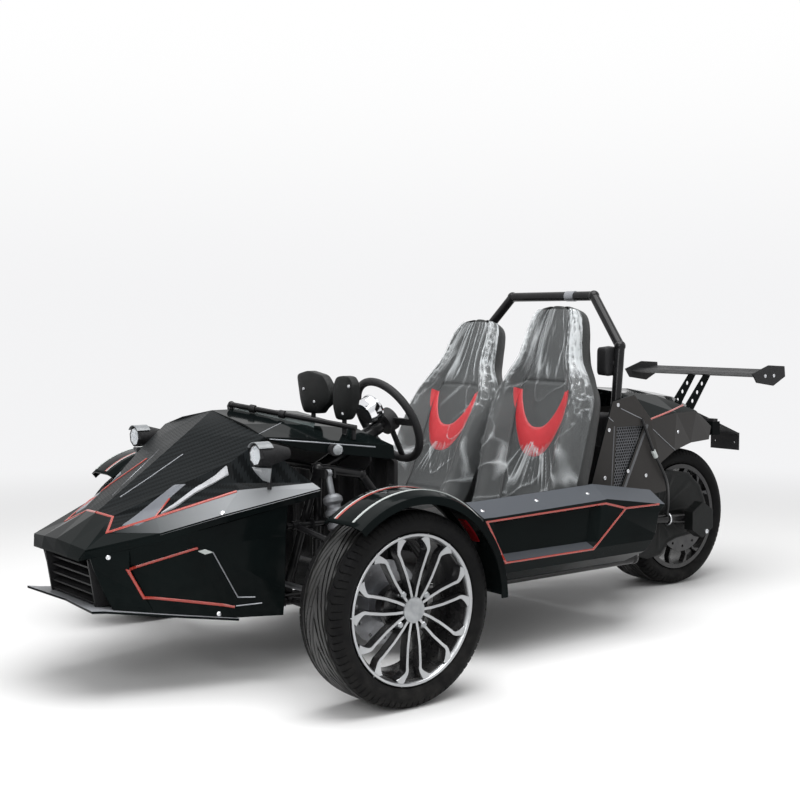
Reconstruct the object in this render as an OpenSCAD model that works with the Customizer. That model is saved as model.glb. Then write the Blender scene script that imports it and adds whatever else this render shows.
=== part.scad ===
/* [Layout] */
// Distance between the front axle and the rear axle
wheelbase = 2080; // [1980:10:2200]
// Front axle to the tip of the nose
front_overhang = 760; // [740:5:800]
// Rear axle to the tip of the tail flap
rear_overhang = 440; // [420:5:480]
// Distance between the centres of the front tyres
track = 1520; // [1480:10:1600]

/* [Wheels] */
// Outer diameter of every tyre
tyre_d = 596; // [580:2:620]
// Width of a front tyre
front_tyre_w = 205; // [190:5:215]
// Width of the rear tyre
rear_tyre_w = 225; // [205:5:245]
// Diameter of the bright lip of a rim
rim_d = 458; // [440:2:466]
// Pairs of spokes in a rim
spoke_pairs = 7; // [5:1:9]
// Width of one spoke
spoke_w = 9; // [7:0.5:12]
// Depth of a spoke behind its face
spoke_depth = 26; // [18:1:32]
// Radius of the centre cap
cap_r = 40; // [34:1:46]
// Radius of the wheel spindles
spindle_r = 18; // [14:0.5:20]
// Radius of a front brake disc
front_disc_r = 130; // [110:5:145]
// Radius of the rear brake disc
rear_disc_r = 150; // [130:5:165]
// Thickness of a brake disc
disc_t = 6; // [4:0.5:8]

/* [Steering] */
// Length of the steering arms ahead of the kingpins
steer_arm = 120; // [105:5:130]
// Radius of a kingpin
kingpin_r = 10; // [8:0.5:12]
// Radius of the rack and the tie rods
tie_rod_r = 9; // [7:0.5:11]
// Diameter of the steering wheel
steering_wheel_d = 330; // [300:5:360]
// Tilt of the steering column above level
column_tilt = 27; // [22:1:32]
// Sideways place of the steering wheel and of each seat
seat_y = 280; // [270:5:290]

/* [Frame] */
// Radius of the main frame tubes
tube_r = 20; // [17:1:23]
// Height of the lower rails' centreline
rail_z = 245; // [238:1:252]
// Half distance between the lower rails at the cockpit
rail_y = 470; // [455:5:480]
// Radius of the roll hoop tube
hoop_r = 19; // [16:1:22]
// Height of the roll hoop's centreline
hoop_top = 1252; // [1200:5:1300]
// Half width of the roll hoop's top bar
hoop_top_y = 235; // [200:5:260]
// Half width of the roll hoop at its shoulders
hoop_y = 415; // [400:5:420]
// Ahead of the rear axle, the swing arm's pivot
pivot_ahead = 440; // [425:5:455]

/* [Body] */
// Thickness of the moulded body panels
skin_t = 6; // [4:1:8]
// Outer half width of the sills
sill_y = 640; // [625:5:655]
// Depth of the recess in a sill
sill_recess = 30; // [15:1:40]
// Spacing of the grille bars
grille_pitch = 26; // [20:1:34]
// Running gap between a front tyre and its fender
fender_gap = 38; // [30:1:45]
// Width of a fender
fender_w = 185; // [170:5:200]
// Half span of the rear wing
wing_half = 360; // [300:10:420]
// Chord of the rear wing
wing_chord = 175; // [150:5:200]
// Height of the wing blade
wing_z = 915; // [890:5:960]

/* [Seats] */
// Half width of a seat at the shoulders
seat_half_w = 255; // [235:5:258]
// Length of a seat back
seat_back_l = 860; // [800:10:900]
// Recline of the driver's seat back
seat_left_recline = 13; // [8:1:18]
// Recline of the passenger's seat back
seat_right_recline = 21; // [12:1:23]

/* [Hidden] */
$fn = 48;

// Places of the axles: the origin is on the ground at mid length
overall_l = front_overhang + wheelbase + rear_overhang;
front_x = overall_l / 2 - front_overhang;
rear_x = front_x - wheelbase;
tyre_r = tyre_d / 2;
rim_r = rim_d / 2;
wheel_y = track / 2;

// Fits: a running bore, and the gap of faces that only meet
run = 0.05;
seat_gap = 0.3;

// Colours
body_black = "#141618";
frame_black = "#1c1c1e";
plastic_black = "#222326";
tyre_black = "#18181a";
bright = "#c9ccd0";
steel = "#8d9196";

// A point placed ahead of the front axle or of the rear axle: what lies between the axles is laid out
// for one wheelbase, and moves in proportion when that changes
laid_out_wheelbase = 2080;
stretch = wheelbase / laid_out_wheelbase;
function from_front(ahead, y, z) = [front_x + ahead * (ahead < 0 ? stretch : 1), y, z];
function from_rear(ahead, y, z) = [rear_x + ahead * (ahead > 0 ? stretch : 1), y, z];
function lerp(a, b, s) = a + (b - a) * s;
function mirrored(p) = [p[0], -p[1], p[2]];
function polar(rad, a) = [rad * cos(a), rad * sin(a)];
// A full row of a body section from its left half, which starts at the centreline
function both_sides(half) = concat([for (i = [len(half) - 1:-1:1]) mirrored(half[i])], half);
// A plan outline from its left half
function both_sides_plan(half) =
    concat(half, [for (i = [len(half) - 1:-1:0]) [half[i][0], -half[i][1]]]);

// A shell between an outer and an inner grid of points: rows run backward, columns from right
// to left over the top, or from the top down the left side
module skin(outer, inner) {
    m = len(outer[0]);
    n = len(outer);
    k = m * n;
    ring = concat(
        [for (j = [0:m - 1]) j],
        [for (i = [1:n - 1]) i * m + m - 1],
        [for (j = [m - 2:-1:0]) (n - 1) * m + j],
        [for (i = [n - 2:-1:1]) i * m]
    );
    quads = [for (i = [0:n - 2], j = [0:m - 2])
        [i * m + j, i * m + j + 1, (i + 1) * m + j + 1, (i + 1) * m + j]];
    polyhedron(
        points = concat([for (row = outer, p = row) p], [for (row = inner, p = row) p]),
        faces = concat(
            [for (q = quads, t = [[q[0], q[2], q[1]], [q[0], q[3], q[2]]]) t],
            [for (q = quads, t = [[q[0], q[1], q[2]], [q[0], q[2], q[3]]]) [for (v = t) v + k]],
            [for (i = [0:len(ring) - 1])
                let (a = ring[i], b = ring[(i + 1) % len(ring)])
                each [[a, b, b + k], [a, b + k, a + k]]]
        )
    );
}

// A shell of even thickness along one direction
module sheet(rows, shift) {
    skin(rows, [for (row = rows) [for (p = row) p + shift]]);
}

// A round tube between two points
module tube(a, b, rad) {
    v = b - a;
    translate(a)
        rotate([0, acos(v[2] / norm(v)), atan2(v[1], v[0])])
            cylinder(r = rad, h = norm(v));
}

// A tube along a list of points, with a slightly proud ball at each bend
ball = 3;
module bent_tube(points, rad) {
    for (i = [0:len(points) - 2]) tube(points[i], points[i + 1], rad);
    for (i = [1:1:len(points) - 2]) translate(points[i]) sphere(r = rad + ball);
}

module both() {
    children();
    mirror([0, 1, 0]) children();
}

// A plate that stands along X and Z, centred on y
module side_plate(points, y, t) {
    translate([0, y + t / 2, 0])
        rotate([90, 0, 0])
            linear_extrude(t) polygon(points);
}

// A cylinder along Y or X, from a low end
module pin_y(x, y0, y1, z, rad) {
    translate([x, y0, z]) rotate([-90, 0, 0]) cylinder(r = rad, h = y1 - y0);
}
module pin_x(x0, x1, y, z, rad) {
    translate([x0, y, z]) rotate([0, 90, 0]) cylinder(r = rad, h = x1 - x0);
}

// Frame: places of the left-hand tubes
floor_t = 6;
rail_top = rail_z + tube_r;
floor_z = rail_top + ball + seat_gap;
floor_top = floor_z + floor_t;
brace_r = 16;
bulkhead_ahead = -1335;
bulkhead_x = from_front(bulkhead_ahead, 0, 0)[0];
nose_rail = from_front(560, 140, rail_z + 85);
rail_first = from_front(190, 250, rail_z);
rail_second = from_front(-165, 250, rail_z);
rail_third = from_front(-400, rail_y, rail_z);
rail_rear = from_front(bulkhead_ahead - 40, rail_y, rail_z);
pivot_y = 290;
pivot_z = 330;
pivot_r = 12;
boss = from_rear(pivot_ahead, pivot_y, pivot_z);
pivot_end = boss + [6, 0, -2];
foot_h = 22;
foot_rise = 11;
tower_front = from_front(60, rail_first[1], rail_top + seat_gap + foot_rise);
tower_back = from_front(-60, rail_first[1], rail_top + seat_gap + foot_rise);
tower_top = from_front(15, 370, 680);
dash_head = from_front(-150, 380, 650);
dash_foot = from_front(-425, rail_y - 32, floor_top + seat_gap + foot_rise);
// Feet of braces stand a little off the rails' bends
tail_foot = lerp(rail_rear, rail_third, 0.05) + [0, 2, 4];
pivot_foot = lerp(pivot_end, rail_rear, 0.1) + [0, 2, 5];

// Tail sections: columns are ahead of the rear axle, ridge height, shoulder y and z,
// corner y and z, hem y and z
tail_table = [
    [491, 880, 195, 862, 330, 752, 330, 520],
    [225, 862, 150, 842, 275, 772, 262, 612],
    [50, 838, 100, 824, 232, 770, 205, 632],
    [-150, 748, 78, 742, 150, 690, 140, 630]
];
function tail_half(row, t) = [
    from_rear(row[0], 0, row[1] - t),
    from_rear(row[0], row[2] - t / 2, row[3] - t),
    from_rear(row[0], row[4] - t, row[5] - t / 2),
    from_rear(row[0], row[6] - t, row[7])
];
tail_post_ahead = 465;
tail_pad_r = 8;
tail_pad_y = lookup(tail_post_ahead - tail_pad_r, [for (i = [3:-1:0]) [tail_table[i][0], tail_table[i][4]]])
    - skin_t - 4 * seat_gap;
tail_post = from_rear(tail_post_ahead, tail_pad_y - 36, 700);

// Wishbone pivots: lower and upper rods along the frame
wish_rod_r = 9;
wish_low = [305, rail_z + 2];
wish_high = [358, 500];
wish_rod_half = 130;
wish_eye_out = 82;
wish_eye_l = 30;
wish_eye_r = 15;
kingpin_y = wheel_y - front_tyre_w / 2 - 2;
hub_z = tyre_r;
knuckle_low = hub_z - 78;
knuckle_high = hub_z + 107;
eye_h = 26;

// Shock pins: in the lower arm and in the tower
shock_pin_r = 7;
shock_inboard = 110;
shock_foot_y = kingpin_y - shock_inboard;
low_eye_z = knuckle_low - seat_gap - eye_h / 2;
high_eye_z = knuckle_high + seat_gap + eye_h / 2;
arm_inset = 8;
arm_drop = 1.5;
wish_arm_r = 11;
arm_end_y = kingpin_y - arm_inset;
shock_foot = from_front(0, shock_foot_y,
                        lerp(low_eye_z, wish_low[1], (arm_end_y - shock_foot_y) / (arm_end_y - wish_low[0])));
shock_head = from_front(15, 425, 668);

module rod_tab(ahead, from_yz, to_yz) {
    w = wish_rod_r + 5;
    translate([front_x + ahead - 4, 0, 0])
        rotate([90, 0, 90])
            linear_extrude(8)
                polygon([
                    [from_yz[0], from_yz[1] - w], [to_yz[0] + w, to_yz[1] - w],
                    [to_yz[0] + w, to_yz[1] + w], [from_yz[0], from_yz[1] + w]
                ]);
}

// The nose moves with its tip; the splitter is a flat plate that rises forward
tip_shift = front_overhang - 760;
splitter_slope = 8.4;
splitter_back = 300;
splitter_back_z = 216;
splitter_t = 8;
function splitter_top(ahead) =
    splitter_back_z + splitter_t / cos(splitter_slope) + (ahead - splitter_back) * tan(splitter_slope);
nose_post_r = 9;
nose_post = lerp(nose_rail, rail_first, 0.3);
nose_post_low = [nose_post[0], nose_post[1],
                 splitter_top(nose_post[0] - front_x - tip_shift + nose_post_r) + seat_gap];
module chassis_frame() {
    color(frame_black)
        difference() {
            union() {
                both() {
                    bent_tube([nose_rail, rail_first, rail_second, rail_third, rail_rear, pivot_end],
                              tube_r);
                    tube(nose_post_low, nose_post, nose_post_r);
                    bent_tube([tail_foot, tail_post, pivot_foot], brace_r);
                    pin_y(tail_post[0], tail_post[1], tail_pad_y, tail_post[2], tail_pad_r);
                    pin_y(boss[0], pivot_y - 28, pivot_y + 12, boss[2], 34);
                    for (ahead = [-112, 0, 112]) rod_tab(ahead, [rail_first[1] + 9, rail_z + 3], wish_low);
                    pin_x(front_x - wish_rod_half, front_x + wish_rod_half, wish_low[0], wish_low[1],
                          wish_rod_r);
                }
                for (p = [nose_rail, rail_third, rail_rear]) tube(mirrored(p), p, brace_r);
                tube(mirrored(tail_post), tail_post, brace_r * 0.9);
            }
            pin_y(boss[0], -pivot_y - 40, pivot_y + 40, boss[2], pivot_r + run);
        }
}

// Front hoop: spring towers and the dash hoop, on feet that stand on the rails and floor
module front_hoop() {
    color(frame_black) {
        both() {
            bent_tube([tower_front, tower_top, dash_head, dash_foot], brace_r);
            tube(tower_back, tower_top + [0, 2, -6], brace_r);
            for (p = [tower_front, tower_back, dash_foot])
                translate([p[0], p[1], p[2] - foot_rise]) cylinder(r = brace_r + 3, h = foot_h);
            for (p = [tower_front, tower_back])
                let (s = (wish_high[1] - p[2]) / (tower_top[2] - p[2]), q = lerp(p, tower_top, s))
                    rod_tab(q[0] - front_x, [q[1] + 5, q[2]], wish_high);
            pin_x(front_x - wish_rod_half, front_x + wish_rod_half, wish_high[0], wish_high[1], wish_rod_r);
            for (s = [-1, 1])
                rod_tab(shock_head[0] - front_x + s * 18, [tower_top[1] + 3, shock_head[2]],
                        [shock_head[1], shock_head[2]]);
            pin_x(shock_head[0] - 20, shock_head[0] + 20, shock_head[1], shock_head[2], shock_pin_r);
        }
        tube(mirrored(dash_head), dash_head, brace_r * 0.9);
    }
}

// Sheet metal tub: floor, toe board and rear bulkhead
toe_ahead = 20;
toe_half = 228;
bulkhead_half = 375;
brace_notch = [22, brace_r + 14];
module floor_pan() {
    color(plastic_black) {
        translate([0, 0, floor_z])
            linear_extrude(floor_t)
                polygon(both_sides_plan([
                    [front_x + toe_ahead, toe_half],
                    [rail_second[0], toe_half],
                    [rail_third[0], rail_y],
                    [bulkhead_x + brace_notch[0], rail_y],
                    [bulkhead_x + brace_notch[0], rail_y - brace_notch[1]],
                    [bulkhead_x, rail_y - brace_notch[1]]
                ]));
        translate([front_x + toe_ahead - floor_t, -toe_half, floor_z])
            cube([floor_t, 2 * toe_half, 330]);
        translate([bulkhead_x, -bulkhead_half, floor_z])
            cube([floor_t, 2 * bulkhead_half, 400]);
    }
}

// Nose band, round the front and back along both lips: columns are the inner edge (ahead, y, z),
// the outer edge and the under edge
band_table = [
    [618, 0, 548, 752, 0, 478, 760, 0, 440],
    [608, 88, 543, 750, 100, 474, 760, 96, 439],
    [655, 150, 506, 744, 195, 468, 756, 170, 437],
    [532, 235, 553, 541, 288, 511, 541, 284, 489],
    [300, 350, 630, 372, 370, 561, 372, 366, 540],
    [70, 420, 642, 62, 452, 626, 62, 448, 606]
];
function band_point(row, c) = from_front(row[c] + tip_shift, row[c + 1], row[c + 2]);
// Y and height of an edge of the nose band at a place along it
function band_y(ahead, c) = lookup(ahead, [for (i = [5:-1:2]) [band_table[i][c], band_table[i][c + 1]]]);
function band_z(ahead, c) = lookup(ahead, [for (i = [5:-1:2]) [band_table[i][c], band_table[i][c + 2]]]);
module nose_cowl() {
    color(body_black)
        sheet([for (c = [0, 3, 6]) both_sides([for (row = band_table) band_point(row, c)])],
              [0, 0, -skin_t]);
}

// Hood sections: columns are ahead at the middle, ridge height, crest y and z of the raised centre,
// channel y and z of the vent, then the row of the nose band that it meets, and how far back the crest
// and the channel stand
hood_table = [
    [618, 548, 88, 543, 120, 523.5, 2, 10.5, 5],
    [440, 676, 205, 637, 224, 578, 3, 0, 0],
    [300, 778, 303, 715, 322, 650, 4, 0, 0],
    [195, 856, 331, 789, 376, 700, 5, 0, 0]
];
function hood_half(row) =
    let (
        lip = band_point(band_table[row[6]], 0) - [2 * seat_gap, seat_gap, 0],
        x = front_x + row[0] + tip_shift - 2 * seat_gap
    )
    [
        [x, 0, row[1]],
        [x - row[7], row[2], row[3]],
        [lerp(x, lip[0], 0.5) - row[8], row[4], row[5]],
        lip
    ];
module hood() {
    color(body_black)
        sheet([for (row = hood_table) both_sides(hood_half(row))], [0, 0, -skin_t]);
}

// Splitter: columns of its left edge are ahead and y
splitter_plan = [[728, 0], [742, 150], [750, 246], [702, 238], [640, 254], [480, 302], [300, 345]];
module splitter() {
    color(plastic_black)
        translate(from_front(splitter_back + tip_shift, 0, splitter_back_z))
            rotate([0, -splitter_slope, 0])
                linear_extrude(splitter_t)
                    polygon(both_sides_plan([for (p = splitter_plan)
                        [(p[0] - splitter_back) / cos(splitter_slope), p[1]]]));
}

// Lower nose sides: columns are ahead at the top, which hangs from the nose band, then ahead, y, z at
// the recess's upper and lower edges, then ahead and y at the bottom, which stands on the splitter
side_table = [
    [725, 716, 186, 408, 690, 206, 330, 668, 222],
    [622, 622, 236, 400, 578, 246, 310, 560, 262],
    [600, 604, 216, 396, 568, 226, 322, 552, 266],
    [460, 430, 302, 452, 340, 316, 270, 335, 328],
    [440, 412, 332, 462, 314, 340, 256, 310, 336],
    [165, 165, 408, 480, 165, 402, 300, 165, 392]
];
function side_row(row) = [
    from_front(row[0] + tip_shift, band_y(row[0], 6), band_z(row[0], 6) - skin_t - seat_gap),
    from_front(row[1] + tip_shift, row[2], row[3]),
    from_front(row[4] + tip_shift, row[5], row[6]),
    from_front(row[7] + tip_shift, row[8], splitter_top(max(row[7], splitter_back)) + seat_gap)
];
module nose_sides() {
    color(body_black)
        both() sheet([for (row = side_table) side_row(row)], [0, -skin_t, 0]);
}

// Grille: two cheeks, cross bars and a back screen in the mouth of the nose
mouth_half = 162;
mouth_low = splitter_top(700) + seat_gap;
mouth_high = 430;
module front_grille() {
    color(plastic_black) {
        both()
            side_plate([
                [front_x + tip_shift + 640, mouth_low], [front_x + tip_shift + 700, mouth_low],
                [front_x + tip_shift + 724, mouth_high], [front_x + tip_shift + 650, mouth_high]
            ], mouth_half, 8);
        for (z = [mouth_low + grille_pitch / 2:grille_pitch:mouth_high - 10])
            translate([front_x + tip_shift + 664, -mouth_half, z])
                rotate([0, 12, 0])
                    cube([34, 2 * mouth_half, 6]);
        translate([front_x + tip_shift + 645, -mouth_half, mouth_low])
            cube([5, 2 * mouth_half, mouth_high - mouth_low]);
    }
}

// Cowl sections behind the hood: columns are ahead at the middle, ahead at the side, ridge height,
// side y and z, and the height of the hem
cowl_table = [
    [194, 194, 856, 331, 789, 786],
    [60, 60, 856, 362, 780, 740],
    [-150, -245, 838, 432, 744, 698]
];
function cowl_half(row, t) = [
    from_front(row[0] + tip_shift, 0, row[2] - t),
    from_front(lerp(row[0], row[1], 0.7) + tip_shift, row[3] * 0.62, lerp(row[2], row[4], 0.5) - t),
    from_front(row[1] + tip_shift, row[3] - t, row[4] - t),
    from_front(row[1] + tip_shift, row[3] + 6 - t, row[5])
];
module dash_cowl() {
    color(body_black)
        skin([for (row = cowl_table) both_sides(cowl_half(row, 0))],
             [for (row = cowl_table) both_sides(cowl_half(row, skin_t))]);
}

// Steering column line: from the wheel's centre down towards the rack
wheel_centre = from_front(-338, seat_y, 814);
column_dir = [cos(column_tilt), 0, -sin(column_tilt)];
column_r = 24;
shaft_r = 12;
column_start = 45;
column_l = 300;
module along_column(start) {
    translate(wheel_centre + start * column_dir)
        rotate([0, 90 + column_tilt, 0])
            children();
}

// Dash panel: an upright plate under the back of the cowl, pierced by the column
dash_ahead = -190;
dash_t = 8;
module dash_panel() {
    color(plastic_black)
        difference() {
            translate(from_front(dash_ahead, 0, 0))
                rotate([90, 0, 90])
                    linear_extrude(dash_t)
                        polygon([
                            [-385, 690], [-330, 640], [330, 640], [385, 690], [385, 728], [240, 766],
                            [0, 800], [-240, 766], [-385, 728]
                        ]);
            along_column(0) cylinder(r = column_r + seat_gap, h = column_l);
        }
}

module steering_column() {
    color(frame_black)
        difference() {
            along_column(column_start) cylinder(r = column_r, h = column_l);
            along_column(0) cylinder(r = shaft_r + run, h = column_l);
        }
}

grip_r = 14;
module steering_wheel() {
    color(plastic_black) {
        along_column(0) {
            rotate_extrude() translate([steering_wheel_d / 2 - grip_r, 0]) circle(r = grip_r);
            for (a = [0, 90, 270])
                rotate([0, 0, a])
                    translate([20, -13, -3])
                        cube([steering_wheel_d / 2 - grip_r - 22, 26, 6]);
            translate([0, 0, -16]) cylinder(r = 42, h = 40);
            cylinder(r = shaft_r, h = column_start + 110);
        }
    }
}

// Rail along the cowl: a chevron of tube on three posts
rail_top_r = 9;
rail_post_z = 767.4;
cowl_rail_mid = from_front(118 + tip_shift, 0, 872);
cowl_rail_end = from_front(-119 + tip_shift, 395, 806);
module cowl_rail() {
    color(frame_black) {
        bent_tube([mirrored(cowl_rail_end), cowl_rail_mid, cowl_rail_end], rail_top_r);
        translate([cowl_rail_mid[0], 0, 856 + seat_gap]) cylinder(r = 7, h = 16);
        both()
            translate([cowl_rail_end[0], cowl_rail_end[1] - 14, rail_post_z])
                cylinder(r = 7, h = cowl_rail_end[2] - rail_post_z);
    }
}

// Headlamps: a tapered body on a post that stands on the nose band
lamp = from_front(262 + tip_shift, 408, 742);
lamp_r = 36;
lamp_l = 105;
lamp_post_r = 7;
lamp_post_ahead = 215;
lamp_post_share = 0.45;
lamp_post_rise = 11.7;
lamp_post_y = lerp(band_y(lamp_post_ahead, 0), band_y(lamp_post_ahead, 3), lamp_post_share);
lamp_post_z = lerp(band_z(lamp_post_ahead, 0), band_z(lamp_post_ahead, 3), lamp_post_share)
    + lamp_post_rise * (band_z(lamp_post_ahead, 0) - band_z(lamp_post_ahead, 3))
    / (band_y(lamp_post_ahead, 3) - band_y(lamp_post_ahead, 0)) + seat_gap;
// Indicators: on the cowl's side walls
flasher_ahead = -30;
flasher_r = 19;
flasher_l = 22;
flasher_turn = atan((cowl_table[2][3] - cowl_table[1][3]) / (cowl_table[1][1] - cowl_table[2][1]));
flasher_s = (cowl_table[1][1] - flasher_ahead) / (cowl_table[1][1] - cowl_table[2][1]);
flasher = from_front(flasher_ahead + tip_shift, lerp(cowl_table[1][3], cowl_table[2][3], flasher_s) + 6.5,
                     lerp(cowl_table[1][5], cowl_table[2][5], flasher_s) + 12);
module headlamps() {
    color(plastic_black)
        both() {
            translate(lamp)
                rotate([0, -90, 0])
                    rotate_extrude()
                        polygon([[0, 0], [lamp_r - 4, 0], [lamp_r - 4, -6], [lamp_r, -6],
                                 [lamp_r, lamp_l * 0.35], [lamp_r * 0.5, lamp_l], [0, lamp_l]]);
            translate([front_x + lamp_post_ahead + tip_shift, lamp_post_y, lamp_post_z])
                cylinder(r = lamp_post_r, h = lamp[2] - lamp_post_z);
            translate(flasher) rotate([0, 0, -flasher_turn])
                rotate([-90, 0, 0]) cylinder(r = flasher_r, h = flasher_l);
        }
}
lens_t = 10;
module lamp_lenses() {
    color("#e8eef2")
        both() {
            translate(lamp + [seat_gap, 0, 0])
                rotate([0, 90, 0])
                    cylinder(r = lamp_r - 4 - seat_gap, h = lens_t);
            translate(flasher)
                rotate([0, 0, -flasher_turn])
                    translate([0, flasher_l + seat_gap, 0])
                        rotate([-90, 0, 0])
                            cylinder(r1 = flasher_r, r2 = flasher_r * 0.8, h = lens_t);
        }
}

// Mirror heads above the cowl: columns are ahead, y, z, half width, half height and the post's foot
mirror_table = [[-128, 150, 909, 52, 62, 819.5], [-129, 330, 900, 38, 66, 781.9]];
module mirrors() {
    color(plastic_black)
        for (head = mirror_table) {
            translate(from_front(head[0] + tip_shift, head[1], head[2]))
                rotate([90, 0, 90])
                    linear_extrude(22)
                        polygon([
                            [-head[3] * 0.6, -head[4]], [head[3] * 0.6, -head[4]], [head[3], -head[4] * 0.3],
                            [head[3] * 0.8, head[4] * 0.8], [head[3] * 0.3, head[4]],
                            [-head[3] * 0.5, head[4]], [-head[3], head[4] * 0.5], [-head[3], -head[4] * 0.4]
                        ]);
            translate(from_front(head[0] + tip_shift + 11, head[1], head[5]))
                cylinder(r = 8, h = head[2] - head[5] - head[4] + 4);
        }
}

// Gauge: a round pod that stands on the column, so far along it and above it from the wheel's centre
gauge_along = 80.2;
gauge_above = 69.5;
gauge_turn = 87;
module gauge_pod() {
    color(bright)
        translate(wheel_centre + gauge_along * column_dir
                  + gauge_above * [sin(column_tilt), 0, cos(column_tilt)])
            rotate([0, column_tilt - gauge_turn, 0])
                rotate_extrude()
                    polygon([[0, 0], [38, 0], [46, 20], [46, 46], [40, 46], [40, 40], [0, 40]]);
}

// Rack: housing on two feet that stand on the rails
rack_z = 310;
rack_r = 24;
rack_half = 262;
module steering_rack() {
    color(steel)
        difference() {
            union() {
                pin_y(front_x + steer_arm, -rack_half, rack_half, rack_z, rack_r);
                both()
                    translate([front_x + steer_arm - 16, rail_first[1] - 10, rail_top + seat_gap])
                        cube([32, 20, rack_z - rail_top]);
            }
            pin_y(front_x + steer_arm, -rack_half - 1, rack_half + 1, rack_z, tie_rod_r + run);
        }
}
tie_end_h = 22;
tie_end_gap = 4;
module tie_rods() {
    color(steel) {
        pin_y(front_x + steer_arm, -kingpin_y, kingpin_y, rack_z, tie_rod_r);
        both()
            translate([front_x + steer_arm, kingpin_y, rack_z - tie_end_h / 2])
                cylinder(r = 15, h = tie_end_h);
    }
}

// Seats: cushion columns are ahead of the hip, above the hip, tilt of the surface, width share,
// bolster and pad; back columns are share of the back's length, width share, bolster and pad
hoop_ahead = -1352;
hip_lead = 387;
hip = from_front(hoop_ahead, 0, 370) + [hip_lead, 0, 0];
// The cushion and its runners keep their share of the room from the hip to the dash hoop
dash_hoop_back = -444;
laid_out_room = 521;
cushion_fit = (from_front(dash_hoop_back, 0, 0)[0] - hip[0]) / laid_out_room;
cushion_table = [
    [452, -45, 78, 0.84, 6, 55],
    [446, 52, 42, 0.88, 14, 60],
    [250, 44, 6, 0.94, 48, 72],
    [70, 16, 14, 0.98, 66, 78],
    [2, 62, 52, 0.98, 80, 90]
];
back_table = [
    [0.19, 0.98, 86, 82],
    [0.40, 1.00, 84, 80],
    [0.60, 1.00, 56, 74],
    [0.70, 0.80, 40, 70],
    [0.78, 0.60, 34, 66],
    [0.92, 0.52, 26, 60],
    [1.00, 0.36, 6, 44]
];
// Across a seat: columns are share of the half width and share of the bolster
across = [[-1, 0.3], [-0.86, 1], [-0.56, 0.12], [0, 0], [0.56, 0.12], [0.86, 1], [1, 0.3]];
function seat_row(x, z, tilt, half, lift, y) =
    [for (c = across) [x + sin(tilt) * c[1] * lift, y + c[0] * half, z + cos(tilt) * c[1] * lift]];
function seat_back_row(x, z, tilt, half, pad, y) =
    [for (c = across) [x - sin(tilt) * pad, y + c[0] * half * 0.96, z - cos(tilt) * pad]];
module seat(y, recline) {
    rows = concat(
        [for (c = cushion_table)
            [hip[0] + c[0] * cushion_fit, hip[2] + c[1], c[2], c[3] * seat_half_w, c[4], c[5]]],
        [for (b = back_table) [
            hip[0] - sin(recline) * b[0] * seat_back_l, hip[2] + cos(recline) * b[0] * seat_back_l,
            90 - recline, b[1] * seat_half_w, b[2], b[3]
        ]]
    );
    color("#2a2a2d") {
        skin([for (w = rows) seat_row(w[0], w[1], w[2], w[3], w[4], y)],
             [for (w = rows) seat_back_row(w[0], w[1], w[2], w[3], w[5], y)]);
        for (s = [-1, 1])
            translate([hip[0] + 60 * cushion_fit, y + s * 150 - 15, floor_top + seat_gap])
                cube([220 * cushion_fit, 30, hip[2] - floor_top - 45]);
    }
}
module seat_left() seat(seat_y, seat_left_recline);
module seat_right() seat(-seat_y, seat_right_recline);

// Sills: columns of the stations are ahead at the top, ahead at the bottom, rise of the top and
// share of the recess; columns of the profile are y, z, share of the rise and share of the recess
sill_stations = [
    [-455, -505, 0, 0],
    [-488, -558, 0, 0],
    [-510, -578, 0, 1],
    [-1030, -960, 14, 1],
    [-1062, -984, 16, 0],
    [-1375, -1290, -30, 0]
];
sill_foot_y = rail_y + tube_r + skin_t + seat_gap;
sill_profile = [
    [sill_y - 86, 548, 1, 0], [sill_y, 503, 1, 0], [sill_y - 6, 488, 1, 0], [sill_y - 8, 474, 1, 1],
    [sill_y - 14, 366, 0, 1], [sill_y - 16, 344, 0, 0], [sill_y - 44, 298, 0, 0], [sill_foot_y, rail_z, 0, 0]
];
module sills() {
    color(body_black)
        both()
            sheet([for (s = sill_stations)
                      [for (i = [0:len(sill_profile) - 1])
                          let (p = sill_profile[i], down = i / (len(sill_profile) - 1))
                          from_front(lerp(s[0], s[1], down), p[0] - s[3] * p[3] * sill_recess,
                                     p[1] + s[2] * p[2])]],
                  [0, -skin_t, 0]);
}

// Roll hoop: the left half's bends, from the floor to the top bar
hoop_foot = from_front(-1312, 422, floor_top + seat_gap);
hoop_points = [
    hoop_foot + [0, 0, 4],
    from_front(-1312, 422, 700),
    from_front(hoop_ahead, hoop_y, 1058),
    from_front(-1395, hoop_top_y, hoop_top)
];
module roll_hoop() {
    color(frame_black) {
        bent_tube(concat(hoop_points, [for (i = [3:-1:0]) mirrored(hoop_points[i])]), hoop_r);
        both() translate(hoop_foot) cylinder(r = hoop_r + 7, h = 10);
    }
}

// Rear quarter panels with a window for a perforated insert
mesh_t = 2;
quarter_y = hoop_points[1][1] + hoop_r + ball + mesh_t + 2 * seat_gap;
quarter_t = 6;
quarter_outline = [
    [-1150, 500], [-1275, 850], [-1395, 872], [-1488, 780], [-1588, 486], [-1400, 470]
];
mesh_window = [[-1300, 752], [-1452, 750], [-1330, 524], [-1285, 524]];
function at_front(points) = [for (p = points) [from_front(p[0], 0, 0)[0], p[1]]];
module quarter_panels() {
    color(body_black)
        both()
            translate([0, quarter_y + quarter_t, 0])
                rotate([90, 0, 0])
                    linear_extrude(quarter_t)
                        difference() {
                            polygon(at_front(quarter_outline));
                            polygon(at_front(mesh_window));
                        }
}
mesh_pitch = 22;
mesh_row = 19;
mesh_hole = 7;
mesh_first = [-1308, 738];
mesh_middle = [-1345, 650];
mesh_lap = [1.12, 1.08];
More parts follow.
